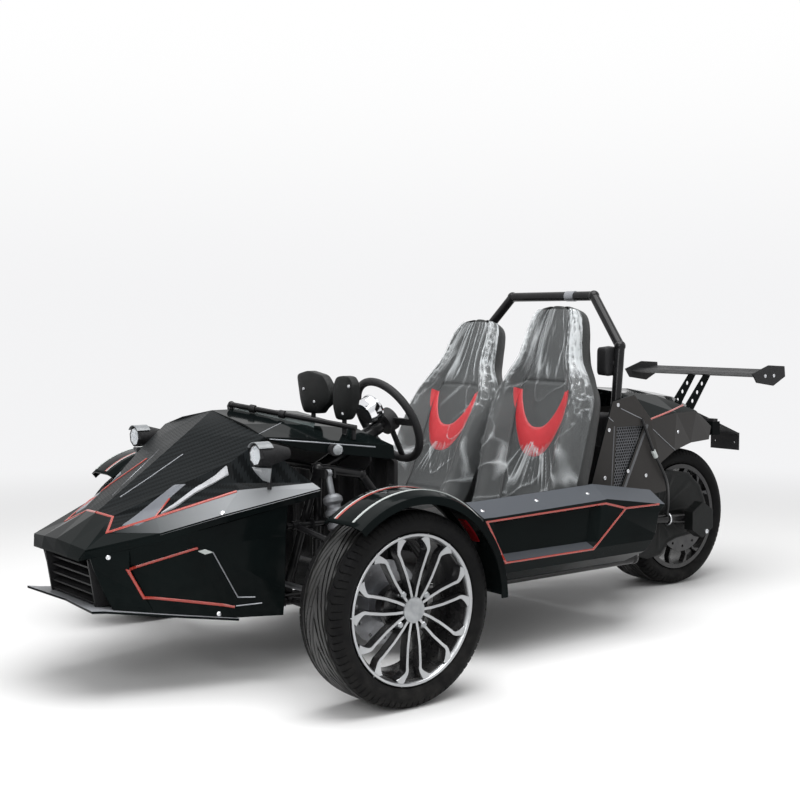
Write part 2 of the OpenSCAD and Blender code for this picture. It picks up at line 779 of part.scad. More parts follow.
// Room for holes along a row, which narrows downward
function mesh_room(j) = 132 - j * 11.5;
module mesh_inserts() {
    color("#9a9da2")
        both()
            translate([0, quarter_y - seat_gap, 0])
                rotate([90, 0, 0])
                    linear_extrude(mesh_t)
                        difference() {
                            polygon(at_front([for (p = mesh_window) [for (k = [0, 1])
                                mesh_middle[k] + (p[k] - mesh_middle[k]) * mesh_lap[k]]]));
                            for (i = [0:6], j = [0:10])
                                if (i * mesh_pitch < mesh_room(j))
                                    translate(at_front([[mesh_first[0] - (i + (j % 2) / 2) * mesh_pitch,
                                                         mesh_first[1] - j * mesh_row]])[0])
                                        circle(r = mesh_hole, $fn = 6);
                        }
}

module tail_fairing() {
    color(body_black)
        skin([for (row = tail_table) both_sides(tail_half(row, 0))],
             [for (row = tail_table) both_sides(tail_half(row, skin_t))]);
}

// Wing: a blade between two end plates, on a pair of pierced stays
wing_front = -195;
wing_t = 16;
module rear_wing() {
    x0 = rear_x + wing_front;
    color(body_black) {
        side_plate([
            [x0, wing_z], [x0 - wing_chord * 0.25, wing_z + wing_t * 0.7],
            [x0 - wing_chord * 0.6, wing_z + wing_t * 0.8], [x0 - wing_chord, wing_z + wing_t * 1.5],
            [x0 - wing_chord, wing_z + wing_t * 1.2], [x0 - wing_chord * 0.5, wing_z - wing_t * 0.3],
            [x0 - wing_chord * 0.15, wing_z - wing_t * 0.4]
        ], 0, 2 * wing_half);
        both()
            side_plate([
                [x0 + 42, wing_z + 12], [x0 - wing_chord * 0.4, wing_z + 46],
                [x0 - wing_chord - 6, wing_z + 40], [x0 - wing_chord - 12, wing_z - 6],
                [x0 - wing_chord * 0.6, wing_z - 44], [x0 + 10, wing_z - 28]
            ], wing_half + 2, 6);
    }
}
stay_y = 42;
stay_t = 6;
stay_foot = [-95, -150];
function tail_top(ahead, y) =
    let (a = tail_table[2], b = tail_table[3], s = (a[0] - ahead) / (a[0] - b[0]))
    lerp(lerp(a[1], b[1], s), lerp(a[3], b[3], s), y / lerp(a[2], b[2], s));
module wing_stays() {
    x0 = rear_x + wing_front;
    low = wing_z - wing_t * 0.4 - seat_gap;
    color(body_black)
        both()
            difference() {
                side_plate([
                    [rear_x + stay_foot[0], tail_top(stay_foot[0], stay_y - stay_t / 2) + 3 * seat_gap],
                    [x0 - wing_chord * 0.16, low], [x0 - wing_chord * 0.45, low],
                    [rear_x + stay_foot[1], tail_top(stay_foot[1], stay_y - stay_t / 2) + 3 * seat_gap]
                ], stay_y, stay_t);
                for (s = [0.25, 0.5, 0.75])
                    pin_y(lerp(rear_x + stay_foot[0] - 25, x0 - wing_chord * 0.3, s), stay_y - 10,
                          stay_y + 10, lerp(tail_top(-120, stay_y), low, s), 9);
            }
}

// Tail flap: a sloping plate with an upright tab, which carries the lamp bar
flap_half = 80;
flap_tip = rear_x - rear_overhang;
flap_root = from_rear(-150, 0, 744);
flap_bolt_r = 3.3;
flap_bolt_gap = 110;
tab_t = 6;
lamp_bar_z = 718;
module tail_flap() {
    color(plastic_black)
        difference() {
            union() {
                side_plate([
                    [flap_root[0] - seat_gap, flap_root[2]], [flap_tip + tab_t, 640], [flap_tip, 640],
                    [flap_tip, 560], [flap_tip + tab_t, 560], [flap_tip + tab_t, 630],
                    [flap_root[0] - seat_gap, flap_root[2] - 10]
                ], 0, 2 * flap_half);
                translate([flap_root[0] - 70, -130, lamp_bar_z - 12]) cube([30, 260, 12]);
            }
            for (s = [-1, 1])
                translate([flap_tip - 1, s * flap_bolt_gap / 2, 595])
                    rotate([0, 90, 0])
                        cylinder(r = flap_bolt_r, h = tab_t + 2);
        }
}
module rear_lamps() {
    color("#a01818")
        both()
            translate([flap_root[0] - 85, 90, lamp_bar_z - 12 - seat_gap - 60])
                cube([50, 40, 60]);
}

// Engine: one block in its bay, on the rear cross tube
engine_front = from_front(bulkhead_ahead - 30, 0, 0)[0];
engine_back = from_front(bulkhead_ahead - 265, 0, 0)[0];
engine_half = 230;
engine_h = 370;
module engine() {
    color(steel)
        translate([engine_back, -engine_half, rail_z + brace_r + seat_gap])
            cube([engine_front - engine_back, 2 * engine_half, engine_h]);
}
muffler_r = 52;
module muffler() {
    start = from_rear(320, -270, 470);
    face = engine_back - seat_gap;
    color(steel) {
        pin_x(rear_x - 30, start[0], start[1], start[2], muffler_r);
        tube(start, [face - 10, -190, 430], 18);
        pin_x(face - 10, face, -190, 430, 30);
    }
}

// Swing arm: pivot tube, two legs and the rear axle
arm_y = rear_tyre_w / 2 + 54;
arm_r = 20;
module swing_arm() {
    color(frame_black) {
        pin_y(boss[0], -pivot_y + 28 + seat_gap, pivot_y - 28 - seat_gap, boss[2], 26);
        pin_y(boss[0], -pivot_y - 12, pivot_y + 12, boss[2], pivot_r);
        both() {
            tube([boss[0], arm_y, boss[2]], [rear_x, arm_y, tyre_r], arm_r);
            pin_y(rear_x, arm_y - arm_r - 2, arm_y + arm_r + 2, tyre_r, 34);
        }
        pin_y(rear_x, -arm_y, arm_y, tyre_r, spindle_r);
    }
}
cover_r = 78;
module hub_cover() {
    color(plastic_black)
        translate([rear_x, arm_y + arm_r + 2 + seat_gap, tyre_r])
            rotate([-90, 30, 0])
                cylinder(r = cover_r, h = 45, $fn = 6);
}

// Wishbones: upper and lower arm on each side, each with a ring for the kingpin
module wishbone(inner, z) {
    inner_p = [for (s = [-1, 1]) [front_x + s * wish_eye_out * inner[2], inner[0], inner[1]]];
    difference() {
        union() {
            for (p = inner_p) {
                tube(from_front(0, arm_end_y, z - arm_drop), p, wish_arm_r);
                pin_x(p[0] - wish_eye_l / 2, p[0] + wish_eye_l / 2, p[1], p[2], wish_eye_r);
            }
            translate(from_front(0, kingpin_y, z - eye_h / 2)) cylinder(r = 22, h = eye_h);
        }
        translate(from_front(0, kingpin_y, z - eye_h)) cylinder(r = kingpin_r + run, h = eye_h * 2);
        pin_x(front_x - 200, front_x + 200, inner[0], inner[1], wish_rod_r + run);
    }
}
module wishbones() {
    color(frame_black)
        both() {
            wishbone([wish_low[0], wish_low[1], 1], low_eye_z);
            pin_x(shock_foot[0] - 28, shock_foot[0] + 28, shock_foot[1], shock_foot[2], shock_pin_r);
            wishbone([wish_high[0], wish_high[1], 1.16], high_eye_z);
        }
}

// Shocks: a damper with coils from a pin in the lower arm to a pin in the tower
coil_count = 8;
coil_r = 32;
coil_root = 22;
coil_from = 0.14;
coil_to = 0.86;
damper_r = 11;
shock_eye_r = 14;
shock_eye_l = 16;
module front_shocks() {
    v = shock_head - shock_foot;
    l = norm(v);
    pitch = l * (coil_to - coil_from) / coil_count;
    color("#7b7f85")
        both()
            difference() {
                union() {
                    for (p = [shock_foot, shock_head])
                        pin_x(p[0] - shock_eye_l / 2, p[0] + shock_eye_l / 2, p[1], p[2], shock_eye_r);
                    translate(shock_foot)
                        rotate([0, acos(v[2] / l), atan2(v[1], v[0])])
                            rotate_extrude()
                                polygon(concat(
                                    [[0, 0], [damper_r, 0], [damper_r, l * coil_from]],
                                    [for (i = [0:coil_count - 1], c = [[0.1, coil_root], [0.35, coil_r],
                                                                       [0.65, coil_r], [0.9, coil_root]])
                                        [c[1], l * coil_from + (i + c[0]) * pitch]],
                                    [[damper_r, l * coil_to], [damper_r, l], [0, l]]
                                ));
                }
                for (p = [shock_foot, shock_head])
                    pin_x(p[0] - 60, p[0] + 60, p[1], p[2], shock_pin_r + run);
            }
}

// Knuckles: upright, kingpin, spindle, steering arm and brake caliper
spindle_end = wheel_y + 62;
disc_y = kingpin_y + 46;
module knuckle() {
    color(steel) {
        translate([front_x - 25, kingpin_y - 22, knuckle_low])
            cube([50, 44, knuckle_high - knuckle_low]);
        translate([front_x, kingpin_y, knuckle_low - eye_h - 6])
            cylinder(r = kingpin_r, h = knuckle_high - knuckle_low + 2 * eye_h + 12);
        pin_y(front_x, kingpin_y, spindle_end, hub_z, spindle_r);
        tube([front_x + 15, kingpin_y - 4, rack_z + 27], [front_x + steer_arm, kingpin_y, rack_z + 27], 11);
        translate([front_x + steer_arm, kingpin_y, rack_z + tie_end_h / 2 + tie_end_gap])
            cylinder(r = 16, h = 24);
        difference() {
            translate([front_x - front_disc_r - 14, disc_y - 22, hub_z - 40]) cube([50, 44, 80]);
            pin_y(front_x, disc_y - disc_t / 2 - 3, disc_y + disc_t / 2 + 3, hub_z, front_disc_r + 5);
        }
        translate([front_x - front_disc_r - 14, kingpin_y - 10, hub_z - 20])
            cube([front_disc_r + 10, 20, 40]);
        translate([front_x - front_disc_r - 14, kingpin_y - 10, hub_z - 40]) cube([50, 36, 80]);
    }
}
module knuckle_left() knuckle();
module knuckle_right() mirror([0, 1, 0]) knuckle();

// Fenders: a bent channel round the top of the wheel on a stay from the knuckle
fender_front = 50;
fender_back = 180;
fender_inner = -58;
stay_back = -75;
module fender() {
    ri = tyre_r + fender_gap;
    t0 = fender_inner;
    t1 = fender_inner + fender_w;
    stay_y_in = kingpin_y - 22;
    stay_top = hub_z + sqrt(pow(ri + 10, 2) - pow(stay_back, 2)) + 2;
    color(body_black) {
        translate([front_x, wheel_y, hub_z])
            rotate([-90, 0, 0])
                rotate([0, 0, -fender_back])
                    rotate_extrude(angle = fender_back - fender_front, $fn = 72)
                        polygon([
                            [ri - 16, t1], [ri + 8, t1], [ri + 24, t1 - 40], [ri + 24, t0 + 30],
                            [ri + 10, t0], [ri + 4, t0 + 2], [ri + 18, t0 + 31], [ri + 18, t1 - 42],
                            [ri + 4, t1 - 5], [ri - 16, t1 - 5]
                        ]);
        bent_tube([
            [front_x - 29, stay_y_in + 14, knuckle_high - 30],
            [front_x + stay_back, stay_y_in, knuckle_high - 10],
            [front_x + stay_back, stay_y_in, stay_top],
            [front_x + stay_back, wheel_y + t0 + 30, stay_top + 6]
        ], 8);
        pin_x(front_x - 35, front_x - 25 - seat_gap, stay_y_in + 14, knuckle_high - 30, 12);
    }
}
module fender_left() fender();
module fender_right() mirror([0, 1, 0]) fender();

// Wheels stand in a local frame whose axis points out of the wheel's face
module at_wheel(x, y) {
    translate([x, y, tyre_r]) rotate([-90, 0, 0]) children();
}
rim_inset = 12;
bead_drop = 14;
bead_gap = 1.5;
flange_w = 11;
module tyre(w) {
    h = w / 2;
    b = h - rim_inset - flange_w - seat_gap;
    half = [
        [rim_r - bead_drop + bead_gap, b], [rim_r + 2, b], [rim_r + 6, h - rim_inset],
        [rim_r + 20, h - 3], [rim_r + 34, h], [tyre_r - 22, h - 4], [tyre_r - 8, h - 13],
        [tyre_r - 2, h - 26], [tyre_r, h - 50]
    ];
    color(tyre_black)
        rotate_extrude($fn = 96)
            polygon(concat(half, [for (i = [len(half) - 1:-1:0]) [half[i][0], -half[i][1]]]));
}
module tyre_left() at_wheel(front_x, wheel_y) tyre(front_tyre_w);
module tyre_right() mirror([0, 1, 0]) tyre_left();
module tyre_rear() at_wheel(rear_x, 0) tyre(rear_tyre_w);

// One spoke: columns are radius share of the rim, angle from the pair's middle, half width
spoke_table = [[0.16, 10, 0.5], [0.80, 18, 0.5], [0.93, 11.5, 1.3]];
module spoke(side) {
    edge = [for (s = [-1, 1]) [for (p = spoke_table)
        polar(p[0] * rim_r, side * p[1] + s * p[2] * spoke_w / (p[0] * rim_r) * 180 / PI)]];
    polygon(concat(edge[0], [for (i = [len(edge[1]) - 1:-1:0]) edge[1][i]]));
}
module rim(w, back, front, bore_end) {
    h = w / 2 - rim_inset;
    color(bright)
        difference() {
            union() {
                rotate_extrude($fn = 96)
                    polygon([
                        [rim_r, h], [rim_r, h - flange_w], [rim_r - bead_drop, h - flange_w],
                        [rim_r - bead_drop, flange_w - h], [rim_r, flange_w - h], [rim_r, -h],
                        [rim_r - 20, -h],
                        [rim_r - 22, h - spoke_depth - 4], [rim_r - 18, h]
                    ]);
                translate([0, 0, h - 2 - spoke_depth])
                    linear_extrude(spoke_depth)
                        for (i = [0:spoke_pairs - 1], side = [-1, 1])
                            rotate(90 + i * 360 / spoke_pairs) spoke(side);
                translate([0, 0, back]) cylinder(r = cap_r, h = h + 2 - back);
                translate([0, 0, back]) cylinder(r = 82, h = front - back);
            }
            translate([0, 0, back - 1]) cylinder(r = spindle_r + run, h = bore_end - back + 1);
        }
}
hub_back = -20;
hub_front = 2;
front_bore_end = front_tyre_w / 2 - rim_inset - 9;
rear_hub_end = rear_tyre_w / 2 - rim_inset + 2;
module rim_left()
    at_wheel(front_x, wheel_y) rim(front_tyre_w, hub_back, hub_front, front_bore_end);
module rim_right() mirror([0, 1, 0]) rim_left();
module rim_rear()
    at_wheel(rear_x, 0) rim(rear_tyre_w, -rear_hub_end, -rear_hub_end + 16, rear_hub_end + 1);

// Discs: a plate with a bell that seats on the hub
module disc(rad, from, to) {
    color(steel)
        difference() {
            union() {
                translate([0, 0, from - disc_t / 2]) cylinder(r = rad, h = disc_t);
                translate([0, 0, min(from, to)]) cylinder(r = 62, h = abs(to - from));
            }
            translate([0, 0, min(from, to) - 20]) cylinder(r = spindle_r + run, h = abs(to - from) + 40);
            for (i = [0:11])
                rotate(i * 30)
                    translate([rad - 22, 0, from - disc_t]) cylinder(r = 6, h = disc_t * 2);
        }
}
module disc_left() at_wheel(front_x, wheel_y) disc(front_disc_r, disc_y - wheel_y, hub_back - seat_gap);
module disc_right() mirror([0, 1, 0]) disc_left();
module disc_rear()
    at_wheel(rear_x, 0) disc(rear_disc_r, rear_hub_end + 18, rear_hub_end + seat_gap);

chassis_frame();
front_hoop();
floor_pan();
nose_cowl();
hood();
nose_sides();
front_grille();
splitter();
dash_cowl();
dash_panel();
cowl_rail();
headlamps();
lamp_lenses();
mirrors();
gauge_pod();
steering_column();
steering_rack();
seat_left();
seat_right();
sills();
roll_hoop();
quarter_panels();
mesh_inserts();
tail_fairing();
rear_wing();
wing_stays();
tail_flap();
rear_lamps();
engine();
muffler();
swing_arm();
hub_cover();
wishbones();
front_shocks();
knuckle_left();
knuckle_right();
fender_left();
fender_right();
tyre_left();
tyre_right();
tyre_rear();
rim_left();
rim_right();
rim_rear();
disc_left();
disc_right();
disc_rear();
steering_wheel();
tie_rods();
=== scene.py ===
"""Looks of an open two-seat reverse trike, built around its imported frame.

Every new piece is a surface worked out in arrays, in metres, in the frame of the solids: X forward,
Y to the left, Z up, with the origin on the ground at mid length.
"""

import math

import bmesh
import bpy
import numpy as np
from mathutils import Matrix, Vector
from mathutils.bvhtree import BVHTree


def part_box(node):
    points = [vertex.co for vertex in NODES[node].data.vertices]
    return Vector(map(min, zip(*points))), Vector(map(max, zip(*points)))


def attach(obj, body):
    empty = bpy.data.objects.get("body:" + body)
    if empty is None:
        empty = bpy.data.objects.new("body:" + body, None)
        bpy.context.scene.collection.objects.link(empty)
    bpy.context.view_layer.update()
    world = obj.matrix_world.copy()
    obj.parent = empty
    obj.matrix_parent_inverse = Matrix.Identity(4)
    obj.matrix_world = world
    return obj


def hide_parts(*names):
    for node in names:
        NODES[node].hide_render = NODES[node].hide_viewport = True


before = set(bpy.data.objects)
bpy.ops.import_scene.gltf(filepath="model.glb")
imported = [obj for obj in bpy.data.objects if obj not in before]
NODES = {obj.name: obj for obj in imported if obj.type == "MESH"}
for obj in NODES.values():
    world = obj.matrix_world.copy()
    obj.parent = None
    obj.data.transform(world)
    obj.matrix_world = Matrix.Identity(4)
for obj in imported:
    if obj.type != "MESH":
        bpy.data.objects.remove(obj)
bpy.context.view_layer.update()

FRONT_X, REAR_X = 0.88, -1.20
WHEEL_Y, HUB_Z = 0.76, 0.298
TYRE_R, RIM_R = 0.298, 0.229
FRONT_W, REAR_W = 0.205, 0.225

# Camera and lamps


def set_camera():
    """The camera stands at the left front, at the height of the hoop, and looks slightly down."""
    yaw, pitch = math.radians(37.948), math.radians(3.5645)
    look = Vector((-math.sin(yaw) * math.cos(pitch), -math.cos(yaw) * math.cos(pitch), -math.sin(pitch)))
    data = bpy.data.cameras.new("camera")
    data.sensor_width, data.lens = 36.0, 59.594
    camera = bpy.data.objects.new("camera", data)
    camera.location = (3.3075, 3.8938, 1.1670)
    camera.rotation_euler = look.to_track_quat("-Z", "Y").to_euler()
    bpy.context.scene.collection.objects.link(camera)
    bpy.context.scene.camera = camera


def add_lamp(name, place, target, size, power):
    """A soft square lamp at a place, turned to a target."""
    data = bpy.data.lights.new(name, "AREA")
    data.shape, data.size, data.energy = "SQUARE", size, power
    lamp = bpy.data.objects.new(name, data)
    lamp.location = place
    lamp.rotation_euler = (Vector(target) - Vector(place)).to_track_quat("-Z", "Y").to_euler()
    bpy.context.scene.collection.objects.link(lamp)


# Node helpers


def add(tree, kind, values=None, **settings):
    """A node with its settings and input values; a value that is a socket is linked."""
    made = tree.nodes.new(kind)
    for key, value in settings.items():
        setattr(made, key, value)
    for key, value in (values or {}).items():
        if isinstance(value, bpy.types.NodeSocket):
            tree.links.new(value, made.inputs[key])
        else:
            made.inputs[key].default_value = value
    return made


def new_group(name, inputs, outputs):
    """An empty shader group with named sockets; returns its tree, its inputs and its outputs."""
    tree = bpy.data.node_groups.new(name, "ShaderNodeTree")
    kinds = {"c": "NodeSocketColor", "f": "NodeSocketFloat", "v": "NodeSocketVector"}
    for socket, kind in inputs:
        tree.interface.new_socket(name=socket, in_out="INPUT", socket_type=kinds[kind])
    for socket, kind in outputs:
        tree.interface.new_socket(name=socket, in_out="OUTPUT", socket_type=kinds[kind])
    return tree, tree.nodes.new("NodeGroupInput").outputs, tree.nodes.new("NodeGroupOutput").inputs


def place_of(tree):
    """The place on the piece, in object coordinates."""
    return add(tree, "ShaderNodeTexCoord").outputs["Object"]


def axes_of(tree, vector):
    """The three parts of a vector."""
    return add(tree, "ShaderNodeSeparateXYZ", {0: vector}).outputs


def maths(tree, operation, *values):
    """One operation on numbers or sockets."""
    return add(tree, "ShaderNodeMath", dict(enumerate(values)), operation=operation).outputs[0]


def vector_maths(tree, operation, *values):
    """One operation on vectors; its outputs are Vector and Value."""
    return add(tree, "ShaderNodeVectorMath", dict(enumerate(values)), operation=operation).outputs


def ramp(tree, value, low, high, **settings):
    """0 up to low, 1 from high on, and from one to the other in between."""
    return add(tree, "ShaderNodeMapRange", {0: value, 1: low, 2: high}, **settings).outputs[0]


def blend_colour(tree, share, low, high):
    """A colour that moves from low to high by a share."""
    return add(tree, "ShaderNodeMix", {0: share, 6: low, 7: high}, data_type="RGBA").outputs[2]


def blend_value(tree, share, low, high):
    """A value that moves from low to high by a share."""
    return add(tree, "ShaderNodeMix", {0: share, 2: low, 3: high}).outputs[0]


def make_mottle():
    """Mottle: cloudy noise moves a colour towards a tint and a roughness across its spread."""
    tree, given, out = new_group(
        "mottle", [("Base", "c"), ("Tint", "c"), ("Scale", "f"), ("Rough", "f"), ("Spread", "f")],
        [("Color", "c"), ("Rough", "f")])
    noise = add(tree, "ShaderNodeTexNoise", {"Vector": place_of(tree), "Scale": given["Scale"],
                                             "Detail": 6.0, "Roughness": 0.62}).outputs[0]
    cloud = ramp(tree, noise, 0.32, 0.68)
    tree.links.new(blend_colour(tree, cloud, given["Base"], given["Tint"]), out["Color"])
    tree.links.new(maths(tree, "MULTIPLY_ADD", cloud, given["Spread"], given["Rough"]), out["Rough"])
    return tree


def make_road_dust():
    """Road dust: a pale film that thickens towards the ground, broken up by noise."""
    tree, given, out = new_group(
        "road_dust", [("Color", "c"), ("Rough", "f"), ("Dust", "c"), ("Amount", "f"), ("Height", "f")],
        [("Color", "c"), ("Rough", "f")])
    at = place_of(tree)
    low = maths(tree, "SUBTRACT", 1.0, maths(tree, "DIVIDE", axes_of(tree, at)[2], given["Height"]))
    noise = add(tree, "ShaderNodeTexNoise", {"Vector": at, "Scale": 34.0, "Detail": 8.0}).outputs[0]
    patch = maths(tree, "MULTIPLY", ramp(tree, low, 0.0, 1.0), ramp(tree, noise, 0.35, 0.75))
    film = maths(tree, "MULTIPLY", patch, given["Amount"])
    tree.links.new(blend_colour(tree, film, given["Color"], given["Dust"]), out["Color"])
    tree.links.new(maths(tree, "MULTIPLY_ADD", film, 0.5, given["Rough"]), out["Rough"])
    return tree


def make_pebble():
    """Pebble grain: rounded cells with fine noise between them, as on leather or moulded plastic."""
    tree, given, out = new_group("pebble", [("Scale", "f"), ("Crease", "f")], [("Height", "f")])
    at = place_of(tree)
    cells = add(tree, "ShaderNodeTexVoronoi", {"Vector": at, "Scale": given["Scale"]},
                feature="DISTANCE_TO_EDGE").outputs[0]
    dome = ramp(tree, cells, 0.0, given["Crease"], interpolation_type="SMOOTHSTEP")
    finer = maths(tree, "MULTIPLY", given["Scale"], 3.0)
    noise = add(tree, "ShaderNodeTexNoise", {"Vector": at, "Scale": finer, "Detail": 3.0}).outputs[0]
    tree.links.new(maths(tree, "MULTIPLY_ADD", noise, 0.3, dome), out["Height"])
    return tree


def make_turned():
    """Turned metal: fine rings about the wheel's axle, whose centre is given, with soft noise."""
    tree, given, out = new_group("turned", [("Centre", "v"), ("Pitch", "f")], [("Lines", "f")])
    at = vector_maths(tree, "SUBTRACT", place_of(tree), given["Centre"])["Vector"]
    flat = vector_maths(tree, "MULTIPLY", at, (1.0, 0.0, 1.0))["Vector"]
    radius = vector_maths(tree, "LENGTH", flat)["Value"]
    along = maths(tree, "MULTIPLY", radius, given["Pitch"])
    noise = add(tree, "ShaderNodeTexNoise", {"Scale": 3000.0, "Detail": 2.0, "W": along},
                noise_dimensions="1D").outputs[0]
    tree.links.new(noise, out["Lines"])
    return tree


def make_twill():
    """Twill weave: two sets of bands at right angles, each shifted by half a band in turn."""
    tree, given, out = new_group("twill", [("Pitch", "f")], [("Mask", "f"), ("Height", "f")])
    u, v = (maths(tree, "MULTIPLY", axis, given["Pitch"]) for axis in axes_of(tree, place_of(tree))[:2])
    step = maths(tree, "ADD", maths(tree, "FLOOR", u), maths(tree, "FLOOR", v))
    over = maths(tree, "LESS_THAN", maths(tree, "MODULO", maths(tree, "ADD", step, 4000.0), 4.0), 2.0)
    phases = [maths(tree, "MULTIPLY", maths(tree, "FRACT", way), math.pi) for way in (u, v)]
    ridges = [maths(tree, "SINE", phase) for phase in phases]
    tree.links.new(over, out["Mask"])
    tree.links.new(blend_value(tree, over, *ridges), out["Height"])
    return tree


MOTTLE, DUST, PEBBLE, TURNED, TWILL = (
    make_mottle(), make_road_dust(), make_pebble(), make_turned(), make_twill())


def use(tree, group, values):
    """A shader group placed in a tree with its own values; returns its outputs."""
    return add(tree, "ShaderNodeGroup", values, node_tree=group).outputs


def shade(colour):
    """A colour with full cover."""
    return (*colour, 1.0)


def new_finish(name):
    """A new material; returns it with its tree and its shader."""
    made = bpy.data.materials.new(name)
    made.use_nodes = True
    return made, made.node_tree, made.node_tree.nodes["Principled BSDF"]


def roughen(tree, shader, strength, depth, height):
    """Tilts the surface by a height's slope."""
    values = {"Strength": strength, "Distance": depth, "Height": height}
    tree.links.new(add(tree, "ShaderNodeBump", values).outputs[0], shader.inputs["Normal"])


def finish(name, colour, tint, rough, spread=0.1, scale=7.0, metallic=0.0, specular=0.5, coat=0.0,
           dust=0.0, dust_height=0.5, pebble=None, bump=0.0, fine=0.0):
    """A mottled surface with optional road dust, pebble grain (scale, crease, depth) and fine ripple."""
    made, tree, shader = new_finish(name)
    shader.inputs["Metallic"].default_value = metallic
    shader.inputs["Specular IOR Level"].default_value = specular
    shader.inputs["Coat Weight"].default_value = coat
    shader.inputs["Coat Roughness"].default_value = 0.04
    skin = use(tree, MOTTLE, {"Base": shade(colour), "Tint": shade(tint), "Scale": scale,
                              "Rough": rough, "Spread": spread})
    if dust:
        skin = use(tree, DUST, {"Color": skin["Color"], "Rough": skin["Rough"],
                                "Dust": (0.20, 0.19, 0.175, 1.0), "Amount": dust, "Height": dust_height})
    tree.links.new(skin["Color"], shader.inputs["Base Color"])
    tree.links.new(skin["Rough"], shader.inputs["Roughness"])
    if pebble:
        grain_scale, crease, depth = pebble
        grain = use(tree, PEBBLE, {"Scale": grain_scale, "Crease": crease})["Height"]
        roughen(tree, shader, 0.6, depth, grain)
    elif fine:
        ripple = add(tree, "ShaderNodeTexNoise", {"Vector": place_of(tree), "Scale": fine, "Detail": 2.0})
        roughen(tree, shader, 0.6, bump, ripple.outputs[0])
    return made


def turned_finish(name, colour, rough, centre):
    """Bright metal with the fine rings that a lathe leaves about an axle."""
    made = finish(name, colour, tuple(0.82 * c for c in colour), rough, 0.08, 9.0, metallic=1.0)
    tree = made.node_tree
    lines = use(tree, TURNED, {"Centre": centre, "Pitch": 1.0})["Lines"]
    roughen(tree, tree.nodes["Principled BSDF"], 0.25, 0.0004, lines)
    return made


def woven_finish(name, dark, light, pitch):
    """A dark woven panel under satin lacquer."""
    made, tree, shader = new_finish(name)
    weave = use(tree, TWILL, {"Pitch": pitch})
    tree.links.new(blend_colour(tree, weave["Mask"], shade(dark), shade(light)), shader.inputs["Base Color"])
    tree.links.new(blend_value(tree, weave["Mask"], 0.30, 0.42), shader.inputs["Roughness"])
    shader.inputs["Specular IOR Level"].default_value = 0.04
    roughen(tree, shader, 0.35, 0.0006, weave["Height"])
    return made


def clear_finish(name, colour, tint, rough, alpha, specular=0.5):
    """Thin clear plastic or glass: a glossy face whose body lets most light straight through."""
    made = finish(name, colour, tint, rough, 0.05, 12.0, specular=specular)
    shader = made.node_tree.nodes["Principled BSDF"]
    shader.inputs["Alpha"].default_value = alpha
    shader.inputs["IOR"].default_value = 1.5
    return made


# Finishes

GLOSS = finish("gloss_panel", (0.0030, 0.0038, 0.0040), (0.0045, 0.0070, 0.0070), 0.05, 0.06, 2.4,
               specular=0.03, dust=0.03, fine=900.0, bump=0.00003)
HOOD = woven_finish("woven_hood", (0.005, 0.006, 0.0065), (0.011, 0.013, 0.014), 150.0)
TUBE = finish("tube_paint", (0.006, 0.006, 0.0065), (0.014, 0.014, 0.015), 0.14, 0.10, 11.0, specular=0.2,
              dust=0.08, fine=420.0, bump=0.00008)
MOULDED = finish("moulded_plastic", (0.010, 0.010, 0.011), (0.017, 0.017, 0.018), 0.42, 0.16, 14.0,
                 specular=0.2, dust=0.06, pebble=(900.0, 0.25, 0.0002))
RUBBER = finish("tyre_rubber", (0.004, 0.004, 0.0045), (0.009, 0.009, 0.009), 0.50, 0.18, 16.0, specular=0.06,
                dust=0.08, dust_height=0.35, pebble=(1500.0, 0.3, 0.0002))
TREAD = finish("tread_rubber", (0.006, 0.006, 0.0065), (0.013, 0.013, 0.012), 0.24, 0.14, 20.0, specular=0.8,
               dust=0.08, dust_height=0.35, pebble=(1500.0, 0.3, 0.0001))
RIM_DARK = finish("rim_pocket_paint", (0.006, 0.006, 0.007), (0.013, 0.013, 0.014), 0.18, 0.12, 18.0,
                  dust=0.15)
STEEL = finish("plated_steel", (0.33, 0.34, 0.36), (0.22, 0.22, 0.23), 0.28, 0.22, 20.0, metallic=1.0,
               dust=0.35, fine=700.0, bump=0.0001)
CAST = finish("cast_metal", (0.20, 0.21, 0.22), (0.12, 0.12, 0.13), 0.46, 0.20, 18.0, metallic=1.0,
              dust=0.3, pebble=(420.0, 0.3, 0.0004))
CHROME = finish("chrome", (0.80, 0.81, 0.83), (0.70, 0.71, 0.73), 0.04, 0.08, 15.0, metallic=1.0)
BOLT = finish("bright_bolt", (0.72, 0.73, 0.75), (0.56, 0.57, 0.59), 0.18, 0.15, 60.0, metallic=1.0)
TRIM = finish("red_trim", (0.36, 0.034, 0.020), (0.28, 0.024, 0.014), 0.16, 0.10, 9.0, coat=0.5)
# Pale grey: painted highlight on the fender stripes and the nose's sides, and the real colour of the brake
# cable's band.
PALE_HIGHLIGHT_AND_BAND = finish("pale_highlight_and_band", (0.50, 0.53, 0.52), (0.38, 0.41, 0.40), 0.24, 0.10, 9.0)
# Grey: painted reflection on the chamfers beside the perforated windows.
EDGE_REFLECTION = finish("grey_painted_reflection", (0.085, 0.088, 0.095), (0.060, 0.062, 0.068), 0.34, 0.12, 12.0)
